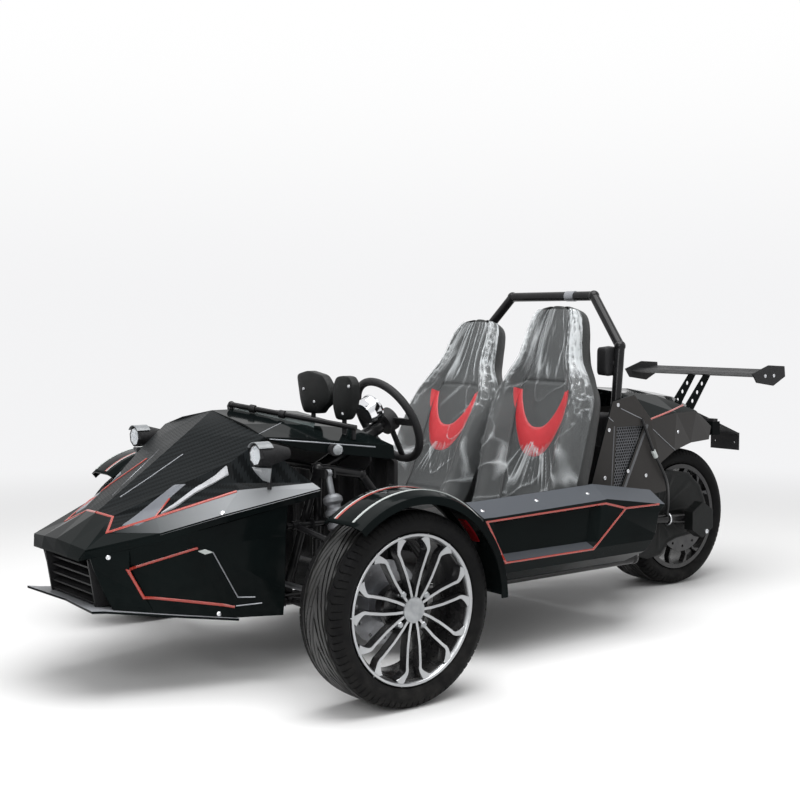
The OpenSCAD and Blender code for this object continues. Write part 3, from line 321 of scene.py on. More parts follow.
# Silver grey: painted highlight and reflection along creases and edges, and the real metal of the hoop's
# band.
SILVER_HIGHLIGHT_AND_BAND = finish("silver_highlight_and_band", (0.30, 0.31, 0.33), (0.22, 0.23, 0.25), 0.25, 0.1, 9.0, metallic=0.6)
PERFORATED = finish("perforated_sheet", (0.13, 0.133, 0.142), (0.09, 0.093, 0.10), 0.36, 0.12, 22.0,
                    metallic=0.6)
RED_LENS = finish("red_lens", (0.13, 0.005, 0.007), (0.09, 0.003, 0.005), 0.10, 0.06, 12.0, specular=0.3)
LEATHER = finish("seat_leather", (0.011, 0.012, 0.012), (0.019, 0.021, 0.021), 0.38, 0.14, 10.0,
                 specular=0.35, pebble=(420.0, 0.22, 0.0005))
RED_LEATHER = finish("red_leather", (0.56, 0.030, 0.040), (0.44, 0.018, 0.026), 0.34, 0.12, 10.0,
                     pebble=(420.0, 0.22, 0.0005))
GLASS = clear_finish("clear_lens", (0.86, 0.90, 0.93), (0.80, 0.85, 0.89), 0.03, 0.30)
SMOKED = clear_finish("smoked_deflector", (0.20, 0.25, 0.25), (0.14, 0.19, 0.19), 0.06, 0.55)
# The film's pale colour, seen through its alpha, is painted sheen and highlight.
FILM_SHEEN = clear_finish("clear_film_painted_sheen", (0.84, 0.87, 0.89), (0.70, 0.74, 0.76), 0.10, 0.16, 0.3)
DARK_SHELL = finish("dark_shell", (0.0045, 0.0050, 0.0050), (0.008, 0.009, 0.009), 0.34, 0.14, 14.0,
                    specular=0.14, dust=0.04, pebble=(900.0, 0.25, 0.0002))
DARK_STEEL = finish("dark_disc", (0.06, 0.06, 0.062), (0.10, 0.10, 0.10), 0.34, 0.2, 25.0, metallic=1.0)
CAP = finish("brushed_cap", (0.36, 0.37, 0.38), (0.26, 0.27, 0.28), 0.30, 0.14, 40.0, metallic=1.0,
             fine=260.0, bump=0.0002)
PIPING = finish("seat_piping", (0.035, 0.036, 0.038), (0.055, 0.056, 0.058), 0.40, 0.15, 40.0)
VISOR = finish("pale_visor", (0.20, 0.21, 0.22), (0.14, 0.15, 0.16), 0.24, 0.10, 30.0)
# A pale patch on the hood's raised flanks: a painted highlight.
HOOD_HIGHLIGHT = finish("pale_painted_highlight", (0.150, 0.160, 0.180), (0.100, 0.108, 0.125), 0.26, 0.10, 6.0)
FIN = finish("bright_fin", (0.46, 0.47, 0.49), (0.26, 0.27, 0.29), 0.30, 0.10, 5.0)
CORD = finish("cable_jacket", (0.008, 0.008, 0.009), (0.016, 0.016, 0.017), 0.38, 0.14, 60.0, specular=0.3)


def sheen_and_lens_panel(name, colour, rough, ramps, back=None):
    """Gloss black paint that turns to another tone where the panel faces aside, up or behind: each ramp
    gives the facing at which the tone starts and is full. With back given, the tone also grows from its
    first to its second place along X. On the sills, the nose lip, the side panels and the splitter the tone
    is painted reflection and sheen, lighter where the sky and the lamps reflect; on the tail lamp it is the
    red of the lens that faces behind."""
    made = finish(name, (0.0030, 0.0038, 0.0040), (0.0045, 0.0070, 0.0070), 0.05, 0.06, 2.4, specular=0.03)
    tree = made.node_tree
    shader = tree.nodes["Principled BSDF"]
    normal = axes_of(tree, add(tree, "ShaderNodeTexCoord").outputs["Normal"])
    facing = {"aside": lambda: maths(tree, "ABSOLUTE", normal[1]), "up": lambda: normal[2],
              "behind": lambda: maths(tree, "MULTIPLY", normal[0], -1.0)}
    masks = [ramp(tree, facing[way](), *span) for way, span in ramps.items()]
    if back:
        masks.append(ramp(tree, axes_of(tree, place_of(tree))[0], *back))
    mask = masks[0]
    for other in masks[1:]:
        mask = maths(tree, "MULTIPLY", mask, other)
    paint, gloss = (shader.inputs[key].links[0].from_socket for key in ("Base Color", "Roughness"))
    tree.links.new(blend_colour(tree, mask, paint, shade(colour)), shader.inputs["Base Color"])
    tree.links.new(blend_value(tree, mask, gloss, rough), shader.inputs["Roughness"])
    return made


# Painted reflection: the sills turn grey on their tops, where the sky and the top lamp reflect.
SILL_SHEEN = sheen_and_lens_panel("sill_painted_sheen", (0.074, 0.080, 0.090), 0.36, {"aside": (0.05, 0.2), "up": (0.55, 0.70)})
# Painted reflection: the nose lip turns light grey where it faces up and partly aside, more so towards the
# back.
LIP_SHEEN = sheen_and_lens_panel("nose_lip_painted_reflection", (0.26, 0.27, 0.28), 0.28, {"aside": (0.36, 0.44), "up": (0.45, 0.55)},
                  (1.54, 1.22))
# Painted sheen: the quarter panels and the tail turn dark grey where they face aside.
SIDE_SHEEN = sheen_and_lens_panel("side_panel_painted_sheen", (0.042, 0.040, 0.039), 0.30, {"aside": (0.70, 0.90)})
# Painted reflection: the splitter turns grey on its top.
BLADE_SHEEN = sheen_and_lens_panel("splitter_painted_reflection", (0.30, 0.31, 0.33), 0.30, {"up": (0.5, 0.8)})
TAIL_LAMP = sheen_and_lens_panel("tail_lamp", (0.20, 0.006, 0.006), 0.10, {"behind": (0.4, 0.6)})
DRESS = {
    GLOSS: ["nose_sides", "dash_cowl", "wing_stays", "fender_left", "fender_right"],
    SIDE_SHEEN: ["quarter_panels", "tail_fairing"],
    DARK_SHELL: ["hub_cover"],
    LIP_SHEEN: ["nose_cowl"],
    SILL_SHEEN: ["sills"],
    HOOD: ["hood"],
    TUBE: ["chassis_frame", "front_hoop", "cowl_rail", "steering_column", "roll_hoop", "swing_arm",
           "wishbones"],
    BLADE_SHEEN: ["splitter"],
    MOULDED: ["floor_pan", "front_grille", "dash_panel", "headlamps", "mirrors", "tail_flap",
              "steering_wheel", "rear_wing"],
    RUBBER: ["tyre_left", "tyre_right", "tyre_rear"],
    RIM_DARK: ["rim_left", "rim_right", "rim_rear"],
    STEEL: ["steering_rack", "tie_rods", "knuckle_left", "knuckle_right", "disc_left", "disc_right"],
    DARK_STEEL: ["disc_rear"],
    CAST: ["engine", "muffler", "front_shocks"],
    LEATHER: ["seat_left", "seat_right"],
    GLASS: ["lamp_lenses"],
    PERFORATED: ["mesh_inserts"],
    TAIL_LAMP: ["rear_lamps"],
    CHROME: ["gauge_pod"],
}
for material, names in DRESS.items():
    for name in names:
        NODES[name].data.materials.clear()
        NODES[name].data.materials.append(material)

ROUNDED = ["hood", "nose_sides", "dash_cowl", "sills", "quarter_panels", "tail_fairing", "fender_left",
           "fender_right", "splitter", "tail_flap", "rear_wing", "wing_stays", "hub_cover", "dash_panel"]


def round_edges(name):
    """A small round along the sharp edges of a panel, where light catches."""
    weld = NODES[name].modifiers.new("joined_corners", "WELD")
    weld.merge_threshold = 1e-5
    bevel = NODES[name].modifiers.new("rounded_edges", "BEVEL")
    bevel.width, bevel.segments = 0.0016, 2
    bevel.limit_method, bevel.angle_limit = "ANGLE", math.radians(20)
    bevel.harden_normals = True


for name in ROUNDED:
    round_edges(name)

# Surfaces


def grid(points, wrap_rows=False, wrap_cols=False):
    """A surface through rows and columns of points; a face joins four neighbours, a wrapped side closes."""
    rows, cols = points.shape[:2]
    row = np.arange(rows - (not wrap_rows))[:, None]
    col = np.arange(cols - (not wrap_cols))[None, :]
    near, far, right = row * cols, (row + 1) % rows * cols, (col + 1) % cols
    corners = np.broadcast_arrays(near + col, near + right, far + right, far + col)
    return points.reshape(-1, 3), np.stack(corners, -1).reshape(-1, 4)


def unit(vectors):
    """Vectors divided by their lengths."""
    return vectors / np.maximum(np.linalg.norm(vectors, axis=-1, keepdims=True), 1e-9)


def capped(loops):
    """Loops with one more at each end, drawn together to the middle, so that the surface closes."""
    ends = [np.broadcast_to(loop.mean(0), loop.shape)[None] for loop in (loops[0], loops[-1])]
    return np.concatenate([ends[0], loops, ends[1]])


def sweep(path, section, up, closed=False, widths=1.0):
    """A closed section carried along a path: its first axis lies across the path and is widened at a
    bend to keep the strip's width, its second axis stands along up."""
    path, section = np.asarray(path, float), np.asarray(section, float)
    ahead = unit(np.roll(path, -1, 0) - path)
    if not closed:
        ahead[-1] = ahead[-2]
    behind = np.roll(ahead, 1, 0)
    if not closed:
        behind[0] = ahead[0]
    along = unit(ahead + behind)
    across = unit(np.cross(np.broadcast_to(up, path.shape), along))
    stand = np.cross(along, across)
    wide = widths / np.maximum((along * ahead).sum(-1), 0.4)
    loops = (path[:, None] + across[:, None] * (section[None, :, :1] * wide[:, None, None])
             + stand[:, None] * section[None, :, 1:])
    return grid(loops if closed else capped(loops), closed, True)


def turned(profile, centre, count=96, closed=False):
    """A profile of radius and height turned about an axle along Y through a centre."""
    profile = np.asarray(profile, float)
    turn = np.arange(count)[:, None] * (2 * math.pi / count)
    spun = np.stack([np.cos(turn) * profile[:, 0], np.broadcast_to(profile[:, 1], (count, len(profile))),
                     np.sin(turn) * profile[:, 0]], -1)
    return grid(np.asarray(centre) + spun, True, closed)


def stood(profile, foot, axis, count=16, start=0.0):
    """A profile of radius and height turned about an axis that stands on a foot."""
    profile, axis = np.asarray(profile, float), unit(np.asarray(axis, float))
    side = unit(np.cross(axis, (0.31, 0.53, 0.79)))
    other = np.cross(axis, side)
    turn = start + np.arange(count)[:, None, None] * (2 * math.pi / count)
    spun = (np.cos(turn) * side + np.sin(turn) * other) * profile[None, :, :1] + axis * profile[None, :, 1:]
    return grid(np.asarray(foot) + spun, True)


def ring_section(radius, count=12):
    """Points of a circle at even steps."""
    turn = np.arange(count) * (2 * math.pi / count)
    return radius * np.stack([np.cos(turn), np.sin(turn)], -1)


def smooth_rows(table, count):
    """A table's rows carried through a rounded curve that passes through each of them."""
    table = np.asarray(table, float)
    padded = np.concatenate([2 * table[:1] - table[1:2], table, 2 * table[-1:] - table[-2:-1]])
    at = np.linspace(0, len(table) - 1 - 1e-9, count)
    first = at.astype(int)
    t = (at - first)[:, None]
    a, b, c, d = (padded[first + k] for k in range(4))
    return 0.5 * (2 * b + (c - a) * t + (2 * a - 5 * b + 4 * c - d) * t**2 + (3 * b - a - 3 * c + d) * t**3)


def piece(name, body, parts, finishes, crease=35.0):
    """Joins surfaces into one mesh that rides on a body; each part gives the number of its finish."""
    starts = np.cumsum([0] + [len(part[0]) for part in parts])
    points = np.concatenate([part[0] for part in parts])
    faces = np.concatenate([part[1] + start for part, start in zip(parts, starts)])
    slots = np.concatenate([np.broadcast_to(part[2], len(part[1])) for part in parts])
    mesh = bpy.data.meshes.new(name)
    mesh.from_pydata(points.tolist(), [], faces.tolist())
    for each in finishes:
        mesh.materials.append(each)
    mesh.polygons.foreach_set("material_index", slots.astype(np.int32))
    work = bmesh.new()
    work.from_mesh(mesh)
    bmesh.ops.remove_doubles(work, verts=work.verts, dist=2e-6)
    bmesh.ops.recalc_face_normals(work, faces=work.faces)
    work.to_mesh(mesh)
    work.free()
    mesh.polygons.foreach_set("use_smooth", np.ones(len(mesh.polygons), bool))
    mesh.set_sharp_from_angle(angle=math.radians(crease))
    made = bpy.data.objects.new(name, mesh)
    bpy.context.scene.collection.objects.link(made)
    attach(made, body)
    return made


def mirrored(parts):
    """Parts with Y turned round, for the other side."""
    return [(part[0] * (1, -1, 1), *part[1:]) for part in parts]


# Wheels

TREAD_PITCHES = 40
PITCH_ROWS = np.array([0, 0.02, 0.07, 0.09, 0.30, 0.50, 0.52, 0.57, 0.59, 0.80])
LONG_SLIT = np.array([0, 1, 1, 0, 0, 0, 0, 0, 0, 0])
SHORT_SLIT = np.array([0, 0, 0, 0, 0, 0, 1, 1, 0, 0])
SWEPT_GROOVE = np.array([0, 0, 0, 1, 1, 1, 1, 1, 1, 0] + [0] * 10)
GROOVE_DEPTH, SLIT_DEPTH, SWEPT_LAG = 0.0065, 0.0042, 7.0
BEAD_R = RIM_R - 0.0125


def tyre_skin(width, centre):
    """A tyre turned about its axle. Columns run from bead to bead over the tread; two grooves sink
    whole columns, shoulder slits sink rows that hook round with the distance from the middle, and swept
    grooves sink rows of every second pitch, which lag seven pitches from the middle to the shoulders."""
    half = width / 2
    k = half / 0.1025
    wall = smooth_rows([(BEAD_R, half - 0.0233), (RIM_R + 0.002, half - 0.0233),
                        (RIM_R + 0.006, half - 0.012), (RIM_R + 0.020, half - 0.003),
                        (RIM_R + 0.034, half), (0.276, half - 0.004), (0.288, half - 0.011),
                        (0.2945, half - 0.021)], 22)
    lips = 0.053 * k + np.array([-0.0058, -0.0042, 0.0042, 0.0058])
    between = np.array([0.004, 0.015, 0.026, 0.037, 0.061, 0.066, 0.071, 0.076]) * k
    flat = np.sort(np.concatenate([lips, between]))
    crown = TYRE_R - 0.0035 * (flat / (half - 0.021)) ** 4
    floor = np.isin(flat, lips[1:3])
    r = np.concatenate([wall[:, 0], crown[::-1]])
    y = np.concatenate([wall[:, 1], flat[::-1]])
    sunk = np.concatenate([np.zeros(len(wall)), floor[::-1] * GROOVE_DEPTH])
    r, sunk = np.concatenate([r, r[::-1]]), np.concatenate([sunk, sunk[::-1]])
    y = np.concatenate([y, -y[::-1]])
    reach = np.abs(y)
    shoulder = (reach > 0.060 * k) & (r > 0.272)
    short = shoulder & (reach > 0.078 * k)
    hook = 0.9 * np.exp(-(reach - 0.060 * k) / 0.006) * (reach > 0.058 * k) + 6.0 * (reach - 0.06)
    turn = (np.arange(TREAD_PITCHES)[:, None] + PITCH_ROWS[None, :]).ravel()
    slit = (np.tile(LONG_SLIT, TREAD_PITCHES)[:, None] * shoulder
            + np.tile(SHORT_SLIT, TREAD_PITCHES)[:, None] * short
            + np.tile(SWEPT_GROOVE, TREAD_PITCHES // 2)[:, None] * ((reach < 0.048 * k) & (r > 0.28)))
    lag = SWEPT_LAG * np.minimum(reach / (0.062 * k), 1)
    angle = (turn[:, None] + np.where(r > 0.27, np.sign(y) * hook, 0) - lag) * (2 * math.pi / TREAD_PITCHES)
    radius = np.maximum(r[None, :] - np.maximum(sunk[None, :], slit * SLIT_DEPTH), BEAD_R)
    spun = np.stack([radius * np.cos(angle), np.broadcast_to(y, radius.shape), radius * np.sin(angle)], -1)
    ribs = np.tile((reach < 0.061 * k) & (r > 0.28), len(turn)).astype(int)
    return (*grid(np.asarray(centre) + spun, True, True), ribs)


SPOKE = np.array([(0.15, 9.9, 4.4), (0.30, 11.8, 4.4), (0.50, 14.3, 4.4), (0.72, 17.0, 4.6),
                  (0.79, 17.9, 5.2), (0.83, 17.3, 6.4), (0.88, 15.2, 9.0), (0.93, 13.0, 12.5),
                  (0.968, 11.2, 16.5)])
SPOKE_SECTION = [(-1.3, -0.030), (1.3, -0.030), (1.0, -0.0010), (0.94, 0.0), (-0.94, 0.0), (-1.0, -0.0010)]
SPOKE_SLOTS = np.array([1, 1, 0, 0, 0, 1])
WHEEL_NUT = [(0.0, 0.0), (0.0130, 0.0), (0.0130, 0.024), (0.0112, 0.026), (0.0112, 0.036), (0.0080, 0.040),
             (0.0, 0.041)]


def rim_spokes(face):
    """Fourteen bent spokes in seven pairs: each runs out from the hub, turns towards its pair's middle
    and flares into the ring. Radius share, degrees from the pair's middle and half width are tabled."""
    parts = []
    for pair in range(7):
        for hand in (1, -1):
            angle = math.radians(90 + pair * 360 / 7) + hand * np.radians(SPOKE[:, 1])
            r = SPOKE[:, 0] * RIM_R
            path = np.stack([r * np.cos(angle), np.full(len(r), face), r * np.sin(angle)], -1)
            skin = sweep(path, SPOKE_SECTION, (0, 1, 0), widths=SPOKE[:, 2] / 1000)
            parts.append((*skin, np.tile(SPOKE_SLOTS, len(skin[1]) // 6)))
    return parts


def rim_parts(half, face):
    """A rim about the origin: a turned barrel with a bright lip, spokes, hub, cap and four nuts."""
    lip = [(0.229, half - 0.0210), (0.229, face + 0.0012), (0.2280, face + 0.0022), (0.2215, face + 0.0022),
           (0.2200, face + 0.0010)]
    barrel = [(0.2150, face - 0.010), (0.2080, face - 0.034), (0.1980, face - 0.060), (0.1960, 0.0),
              (0.2010, -half + 0.048), (0.2180, -half + 0.030), (0.2200, -half + 0.013),
              (0.229, -half + 0.012), (0.229, -half + 0.021), (0.2130, -half + 0.024),
              (0.2110, -half + 0.040), (0.2030, -half + 0.056), (0.2005, 0.0), (0.2030, face - 0.058),
              (0.2120, face - 0.032), (0.2130, half - 0.026)]
    slots = np.array([0] * len(lip) + [1] * len(barrel))
    shell = turned(lip + barrel, (0, 0, 0), 112, True)
    hub = turned([(0.0, face - 0.036), (0.078, face - 0.036), (0.084, face - 0.040), (0.084, face - 0.052),
                  (0.062, face - 0.062), (0.0, face - 0.062)], (0, 0, 0), 56)
    cap = turned([(0.0, face + 0.0050), (0.020, face + 0.0044), (0.033, face + 0.0030),
                  (0.0350, face + 0.0034), (0.0385, face + 0.0022), (0.0400, face - 0.001),
                  (0.0400, face - 0.034), (0.0, face - 0.034)], (0, 0, 0), 56)
    parts = [(*shell, np.tile(slots, 112)), (*hub, 1), (*cap, 2)] + rim_spokes(face)
    for quarter in range(4):
        angle = math.radians(52.8 + 90 * quarter)
        foot = (0.063 * math.cos(angle), face - 0.037, 0.063 * math.sin(angle))
        parts.append((*stood(WHEEL_NUT, foot, (0, 1, 0), 6), 2))
    return parts


def moved(parts, shift):
    """Parts with a shift added to their points."""
    return [(part[0] + np.asarray(shift), *part[1:]) for part in parts]


def make_wheels():
    """The three tyres, and the two front rims with bright spoke faces over black pockets."""
    for side, hand in (("left", 1), ("right", -1)):
        centre = (FRONT_X, hand * WHEEL_Y, HUB_Z)
        tyre = piece(f"tread_{side}", f"wheel_{side}", [tyre_skin(FRONT_W, centre)], [RUBBER, TREAD], 50)
        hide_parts(f"tyre_{side}")
        bright = turned_finish(f"machined_face_{side}", (0.44, 0.45, 0.46), 0.28, centre)
        parts = rim_parts(FRONT_W / 2, 0.0885)
        parts = moved(parts if hand > 0 else mirrored(parts), centre)
        rim = piece(f"spokes_{side}", f"wheel_{side}", parts, [bright, RIM_DARK, CAP], 30)
        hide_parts(f"rim_{side}")
    tyre = piece("tread_rear", "wheel_rear", [tyre_skin(REAR_W, (REAR_X, 0, HUB_Z))], [RUBBER, TREAD], 50)
    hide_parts("tyre_rear")


make_wheels()

# Seats

SEAT_HALF, BACK_L = 0.236, 0.86
# The hip's place and the back's recline; the right seat is slid a little ahead
HIP = {"left": (-0.085, 0.284, 0.370), "right": (-0.060, -0.290, 0.360)}
RECLINE = {"left": 13.0, "right": 22.5}
# Columns: ahead of the hip, above it, tilt of the surface, width share, bolster, pad, share of the back
CUSHION = np.array([(452, -45, 78, 0.84, 6, 55, -0.62), (446, 52, 42, 0.88, 14, 60, -0.50),
                    (250, 44, 6, 0.94, 48, 72, -0.28), (70, 16, 14, 0.98, 66, 78, -0.05),
                    (2, 62, 52, 0.98, 80, 90, 0.07)])
# Columns: share of the back, width share, bolster, pad
BACK = np.array([(0.19, 0.98, 86, 82), (0.40, 1.00, 84, 80), (0.58, 1.00, 58, 74), (0.68, 0.84, 44, 70),
                 (0.77, 0.65, 36, 66), (0.90, 0.55, 28, 60), (0.955, 0.49, 22, 54), (0.985, 0.40, 14, 44),
                 (1.0, 0.23, 5, 30)])
BOLSTER_U = np.array([0, 0.2, 0.4, 0.54, 0.62, 0.74, 0.84, 0.92, 1.0])
BOLSTER_N = np.array([0, 0.01, 0.04, 0.12, 0.34, 0.82, 1.0, 0.86, 0.42])
SEAM_U, CROSS_SEAMS = 0.56, (0.135, 0.66)
RUNNER_SECTION = [(-0.015, -0.020), (0.015, -0.020), (0.015, 0.012), (0.011, 0.020), (-0.011, 0.020),
                  (-0.015, 0.012)]


def seat_rows(side):
    """The seat's middle line from the cushion's front edge to the top of the head, as smooth rows of
    x, z, tilt, half width, bolster, pad and share of the back."""
    lean = math.radians(RECLINE[side])
    hip_x, _, hip_z = HIP[side]
    low = np.stack([hip_x + CUSHION[:, 0] / 1000, hip_z + CUSHION[:, 1] / 1000, np.radians(CUSHION[:, 2]),
                    CUSHION[:, 3] * SEAT_HALF, CUSHION[:, 4] / 1000, CUSHION[:, 5] / 1000, CUSHION[:, 6]], -1)
    reach = BACK[:, 0] * BACK_L
    high = np.stack([hip_x - math.sin(lean) * reach, hip_z + math.cos(lean) * reach,
                     np.full(len(BACK), math.pi / 2 - lean), BACK[:, 1] * SEAT_HALF, BACK[:, 2] / 1000,
                     BACK[:, 3] / 1000, BACK[:, 0]], -1)
    return smooth_rows(np.concatenate([low, high]), 150)


def seat_skin(rows, y, u, share, out=0.0):
    """The point of a seat's front at u across and a share along the middle line, lifted by out: the
    bolster's height stands on the row's tilt, and the middle panel swells between its seams."""
    x, z, tilt, half, lift = (np.interp(share, rows[:, 6], rows[:, k]) for k in range(5))
    reach = np.abs(u)
    swell = 0.012 * np.clip(1 - (reach / 0.55) ** 2, 0, 1) ** 0.7
    seam = 0.007 * np.exp(-(((reach - SEAM_U) * half) / 0.005) ** 2)
    cross = sum(0.005 * np.exp(-(((share - at) * BACK_L) / 0.006) ** 2) for at in CROSS_SEAMS)
    n = np.interp(reach, BOLSTER_U, BOLSTER_N) * lift + swell - seam - cross * (reach < SEAM_U) + out
    fall = np.clip(reach - 1, 0, 1)
    n = n - 1.6 * fall * half
    return np.stack([x + np.sin(tilt) * n, y + np.sign(u) * np.minimum(reach, 1 + 0.35 * fall) * half,
                     z + np.cos(tilt) * n], -1)


def field(a, b, seed):
    """Smooth random heights: seeded values on a lattice, eased between neighbours."""
    lattice = np.random.default_rng(seed).uniform(-1, 1, (64, 64))
    i, j = np.floor(a).astype(int), np.floor(b).astype(int)
    s, t = a - i, b - j
    s, t = s * s * (3 - 2 * s), t * t * (3 - 2 * t)
    low = lattice[i % 64, j % 64] * (1 - s) + lattice[(i + 1) % 64, j % 64] * s
    high = lattice[i % 64, (j + 1) % 64] * (1 - s) + lattice[(i + 1) % 64, (j + 1) % 64] * s
    return low * (1 - t) + high * t


def ridged(value):
    """Sharp crests between round hollows, from 0 to 1."""
    return (1 - np.abs(value)) ** 3


def film_folds(u, share, seed):
    """Heights of a clear film's folds: streaks down the head, crumples along both edges, a fan of
    creases over the lumbar pad and long slack waves between them."""
    head = np.clip((share - 0.62) / 0.10, 0, 1)
    edge = np.clip((np.abs(u) - 0.66) / 0.12, 0, 1) * np.clip((share - 0.42) / 0.12, 0, 1)
    low = np.clip((0.44 - share) / 0.10, 0, 1) * np.clip((share - 0.16) / 0.08, 0, 1)
    streak = ridged(field(u * 9 + 0.9 * field(u * 2, share * 6, seed), share * 2.2, seed + 1))
    fine = ridged(field(u * 20, share * 5 + u, seed + 2))
    crumple = ridged(field(u * 22, share * 30, seed + 3)) + 0.6 * ridged(field(u * 40, share * 52, seed + 4))
    spoke = np.arctan2(u - 0.15, share - 0.52)
    fan = ridged(field(spoke * 9, np.hypot(u - 0.15, share - 0.52) * 3, seed + 5))
    wave = ridged(field(u * 2.2 + share * 3, share * 8 - u * 2, seed + 6)) ** 4
    return (head * (0.55 * streak + 0.4 * fine) + edge * 0.5 * crumple + low * 0.75 * fan
            + (1 - head) * (1 - edge) * 0.55 * wave)


def make_film(side, y, rows):
    """A clear film stretched over a seat from the lumbar pad to the head and round its edges."""
    u = np.linspace(-1.12, 1.12, 150)[None, :]
    share = np.linspace(-0.02, 0.985, 250)[:, None]
    u, share = np.broadcast_arrays(u, share)
    folds = film_folds(u, share, 11 if side == "left" else 29)
    skin = grid(seat_skin(rows, y, u, share, 0.0035 + 0.006 * folds))
    film = piece(f"film_{side}", "chassis", [(*skin, 0)], [FILM_SHEEN], 80)
    # The fold heights are kept on the film to place its painted highlights.
    crest = film.data.attributes.new("crest", "FLOAT", "POINT")
    crest.data.foreach_set("value", np.clip(folds, 0, 1).ravel().astype(np.float32))
    area = np.empty(len(film.data.polygons))
    film.data.polygons.foreach_get("area", area)


def make_seat(side):
    """A bucket seat: a padded cover that closes round its foam, a red crescent across the back, piping
    along the seams and two runners; a clear film lies over it."""
    hip_x, y, _ = HIP[side]
    rows = seat_rows(side)
    share = rows[:, 6][:, None]
    u = np.linspace(-1, 1, 61)[None, :]
    front = seat_skin(rows, y, u, np.broadcast_to(share, (len(rows), 61)))
    x, z, tilt, half, lift, pad = (rows[:, k][:, None] for k in range(6))

    def behind(width, depth):
        """Points at a share of the half width across, and at a depth against the surface's tilt."""
        return np.stack([x - np.sin(tilt) * depth, y + width * half, z - np.cos(tilt) * depth], -1)

    t = np.linspace(0, 1, 8)[None, 1:-1]
    drop = -0.42 * lift + (pad + 0.42 * lift) * t
    wide = 1 + 0.05 * np.sin(math.pi * t) - 0.06 * t
    back_u = np.linspace(0.94, -0.94, 25)[None, :]
    back = behind(back_u, pad * (1 + 0.16 * (1 - back_u**2)))
    loops = np.concatenate([front, behind(wide, drop), back, behind(-wide[:, ::-1], drop[:, ::-1])], 1)
    wrinkle = 0.0016 * field(loops[..., 1] * 26, loops[..., 2] * 22 + loops[..., 0] * 14, 5)
    loops[..., 0] += wrinkle
    cover = piece(f"seat_cover_{side}", "chassis", [(*grid(capped(loops), False, True), 0)], [LEATHER], 80)
    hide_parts(f"seat_{side}")

    way, step = np.meshgrid(np.linspace(-1, 1, 81), np.linspace(0, 1, 25))
    reach = np.abs(way)
    outer_u, outer_s = 0.66 * reach**0.8, 0.325 + 0.30 * reach**2.1
    inner_u, inner_s = 0.50 * reach, 0.455 + 0.165 * reach**2.4
    across = np.sign(way) * (outer_u + (inner_u - outer_u) * step)
    along = outer_s + (inner_s - outer_s) * step
    rise = 0.001 + 0.006 * np.sin(math.pi * step) ** 0.6
    crescent = piece(f"red_crescent_{side}", "chassis",
                     [(*grid(seat_skin(rows, y, across, along, rise)), 0)], [RED_LEATHER], 80)

    piping = []
    for hand in (-1, 1):
        along = np.linspace(-0.45, 0.93, 160)
        line = seat_skin(rows, y, np.full(160, hand * SEAM_U), along, 0.0045)
        piping.append((*sweep(line, ring_section(0.0028, 8), (0, hand, 0.001)), 0))
    piece(f"piping_{side}", "chassis", piping, [PIPING], 80)

    runner = []
    for hand in (-1, 1):
        line = np.array([(hip_x + 0.06, y + hand * 0.15, 0.30), (hip_x + 0.28, y + hand * 0.15, 0.30)])
        runner.append((*sweep(line, RUNNER_SECTION, (0, 0, 1)), 0))
    piece(f"runners_{side}", "chassis", runner, [STEEL])
    make_film(side, y, rows)


def film_crest_highlights(made):
    """Painted highlight: the film's pale colour covers more where its folds crest, and it is nearly clear
    between them.
    """
    tree = made.node_tree
    shader = tree.nodes["Principled BSDF"]
    crest = add(tree, "ShaderNodeAttribute", attribute_name="crest").outputs["Fac"]
    tree.links.new(add(tree, "ShaderNodeMapRange", {0: crest, 1: 0.30, 2: 0.95, 3: 0.07, 4: 0.60}).outputs[0],
                   shader.inputs["Alpha"])


film_crest_highlights(FILM_SHEEN)
for seat_side in ("left", "right"):
    make_seat(seat_side)

# Trims, bolts and small fittings

SKINS = {}
LINE_WAY = Vector((-0.614, -0.787, -0.062))


def skin_of(node):
    """The surface of a solid, for laying trims and bolts on it."""
    if node not in SKINS:
        mesh, place = NODES[node].data, np.array(NODES[node].matrix_world)
        points = np.empty(3 * len(mesh.vertices))
        mesh.vertices.foreach_get("co", points)
        points = points.reshape(-1, 3) @ place[:3, :3].T + place[:3, 3]
        SKINS[node] = BVHTree.FromPolygons(points.tolist(), [tuple(face.vertices) for face in mesh.polygons])
    return SKINS[node]


def nearest(nodes, point):
    """The nearest point of some nodes' surfaces, and the way out there."""
    return min((skin_of(node).find_nearest(Vector(point)) for node in nodes), key=lambda hit: hit[3])[:2]


def met(nodes, point):
    """Where a line from the left front meets some nodes' surfaces near a point, and the way out there;
    the nearest place where it meets none."""
    start = Vector(point) - 0.12 * LINE_WAY
    hits = [skin_of(node).ray_cast(start, LINE_WAY, 0.3) for node in nodes]
    hits = [hit for hit in hits if hit[0] is not None]
    return min(hits, key=lambda hit: hit[3])[:2] if hits else nearest(nodes, point)


def laid_on(nodes, points):
    """Points moved onto some nodes' surfaces, and the ways out there."""
    hits = [met(nodes, point) for point in points]
    return (np.array([hit[k] for hit in hits]) for k in (0, 1))


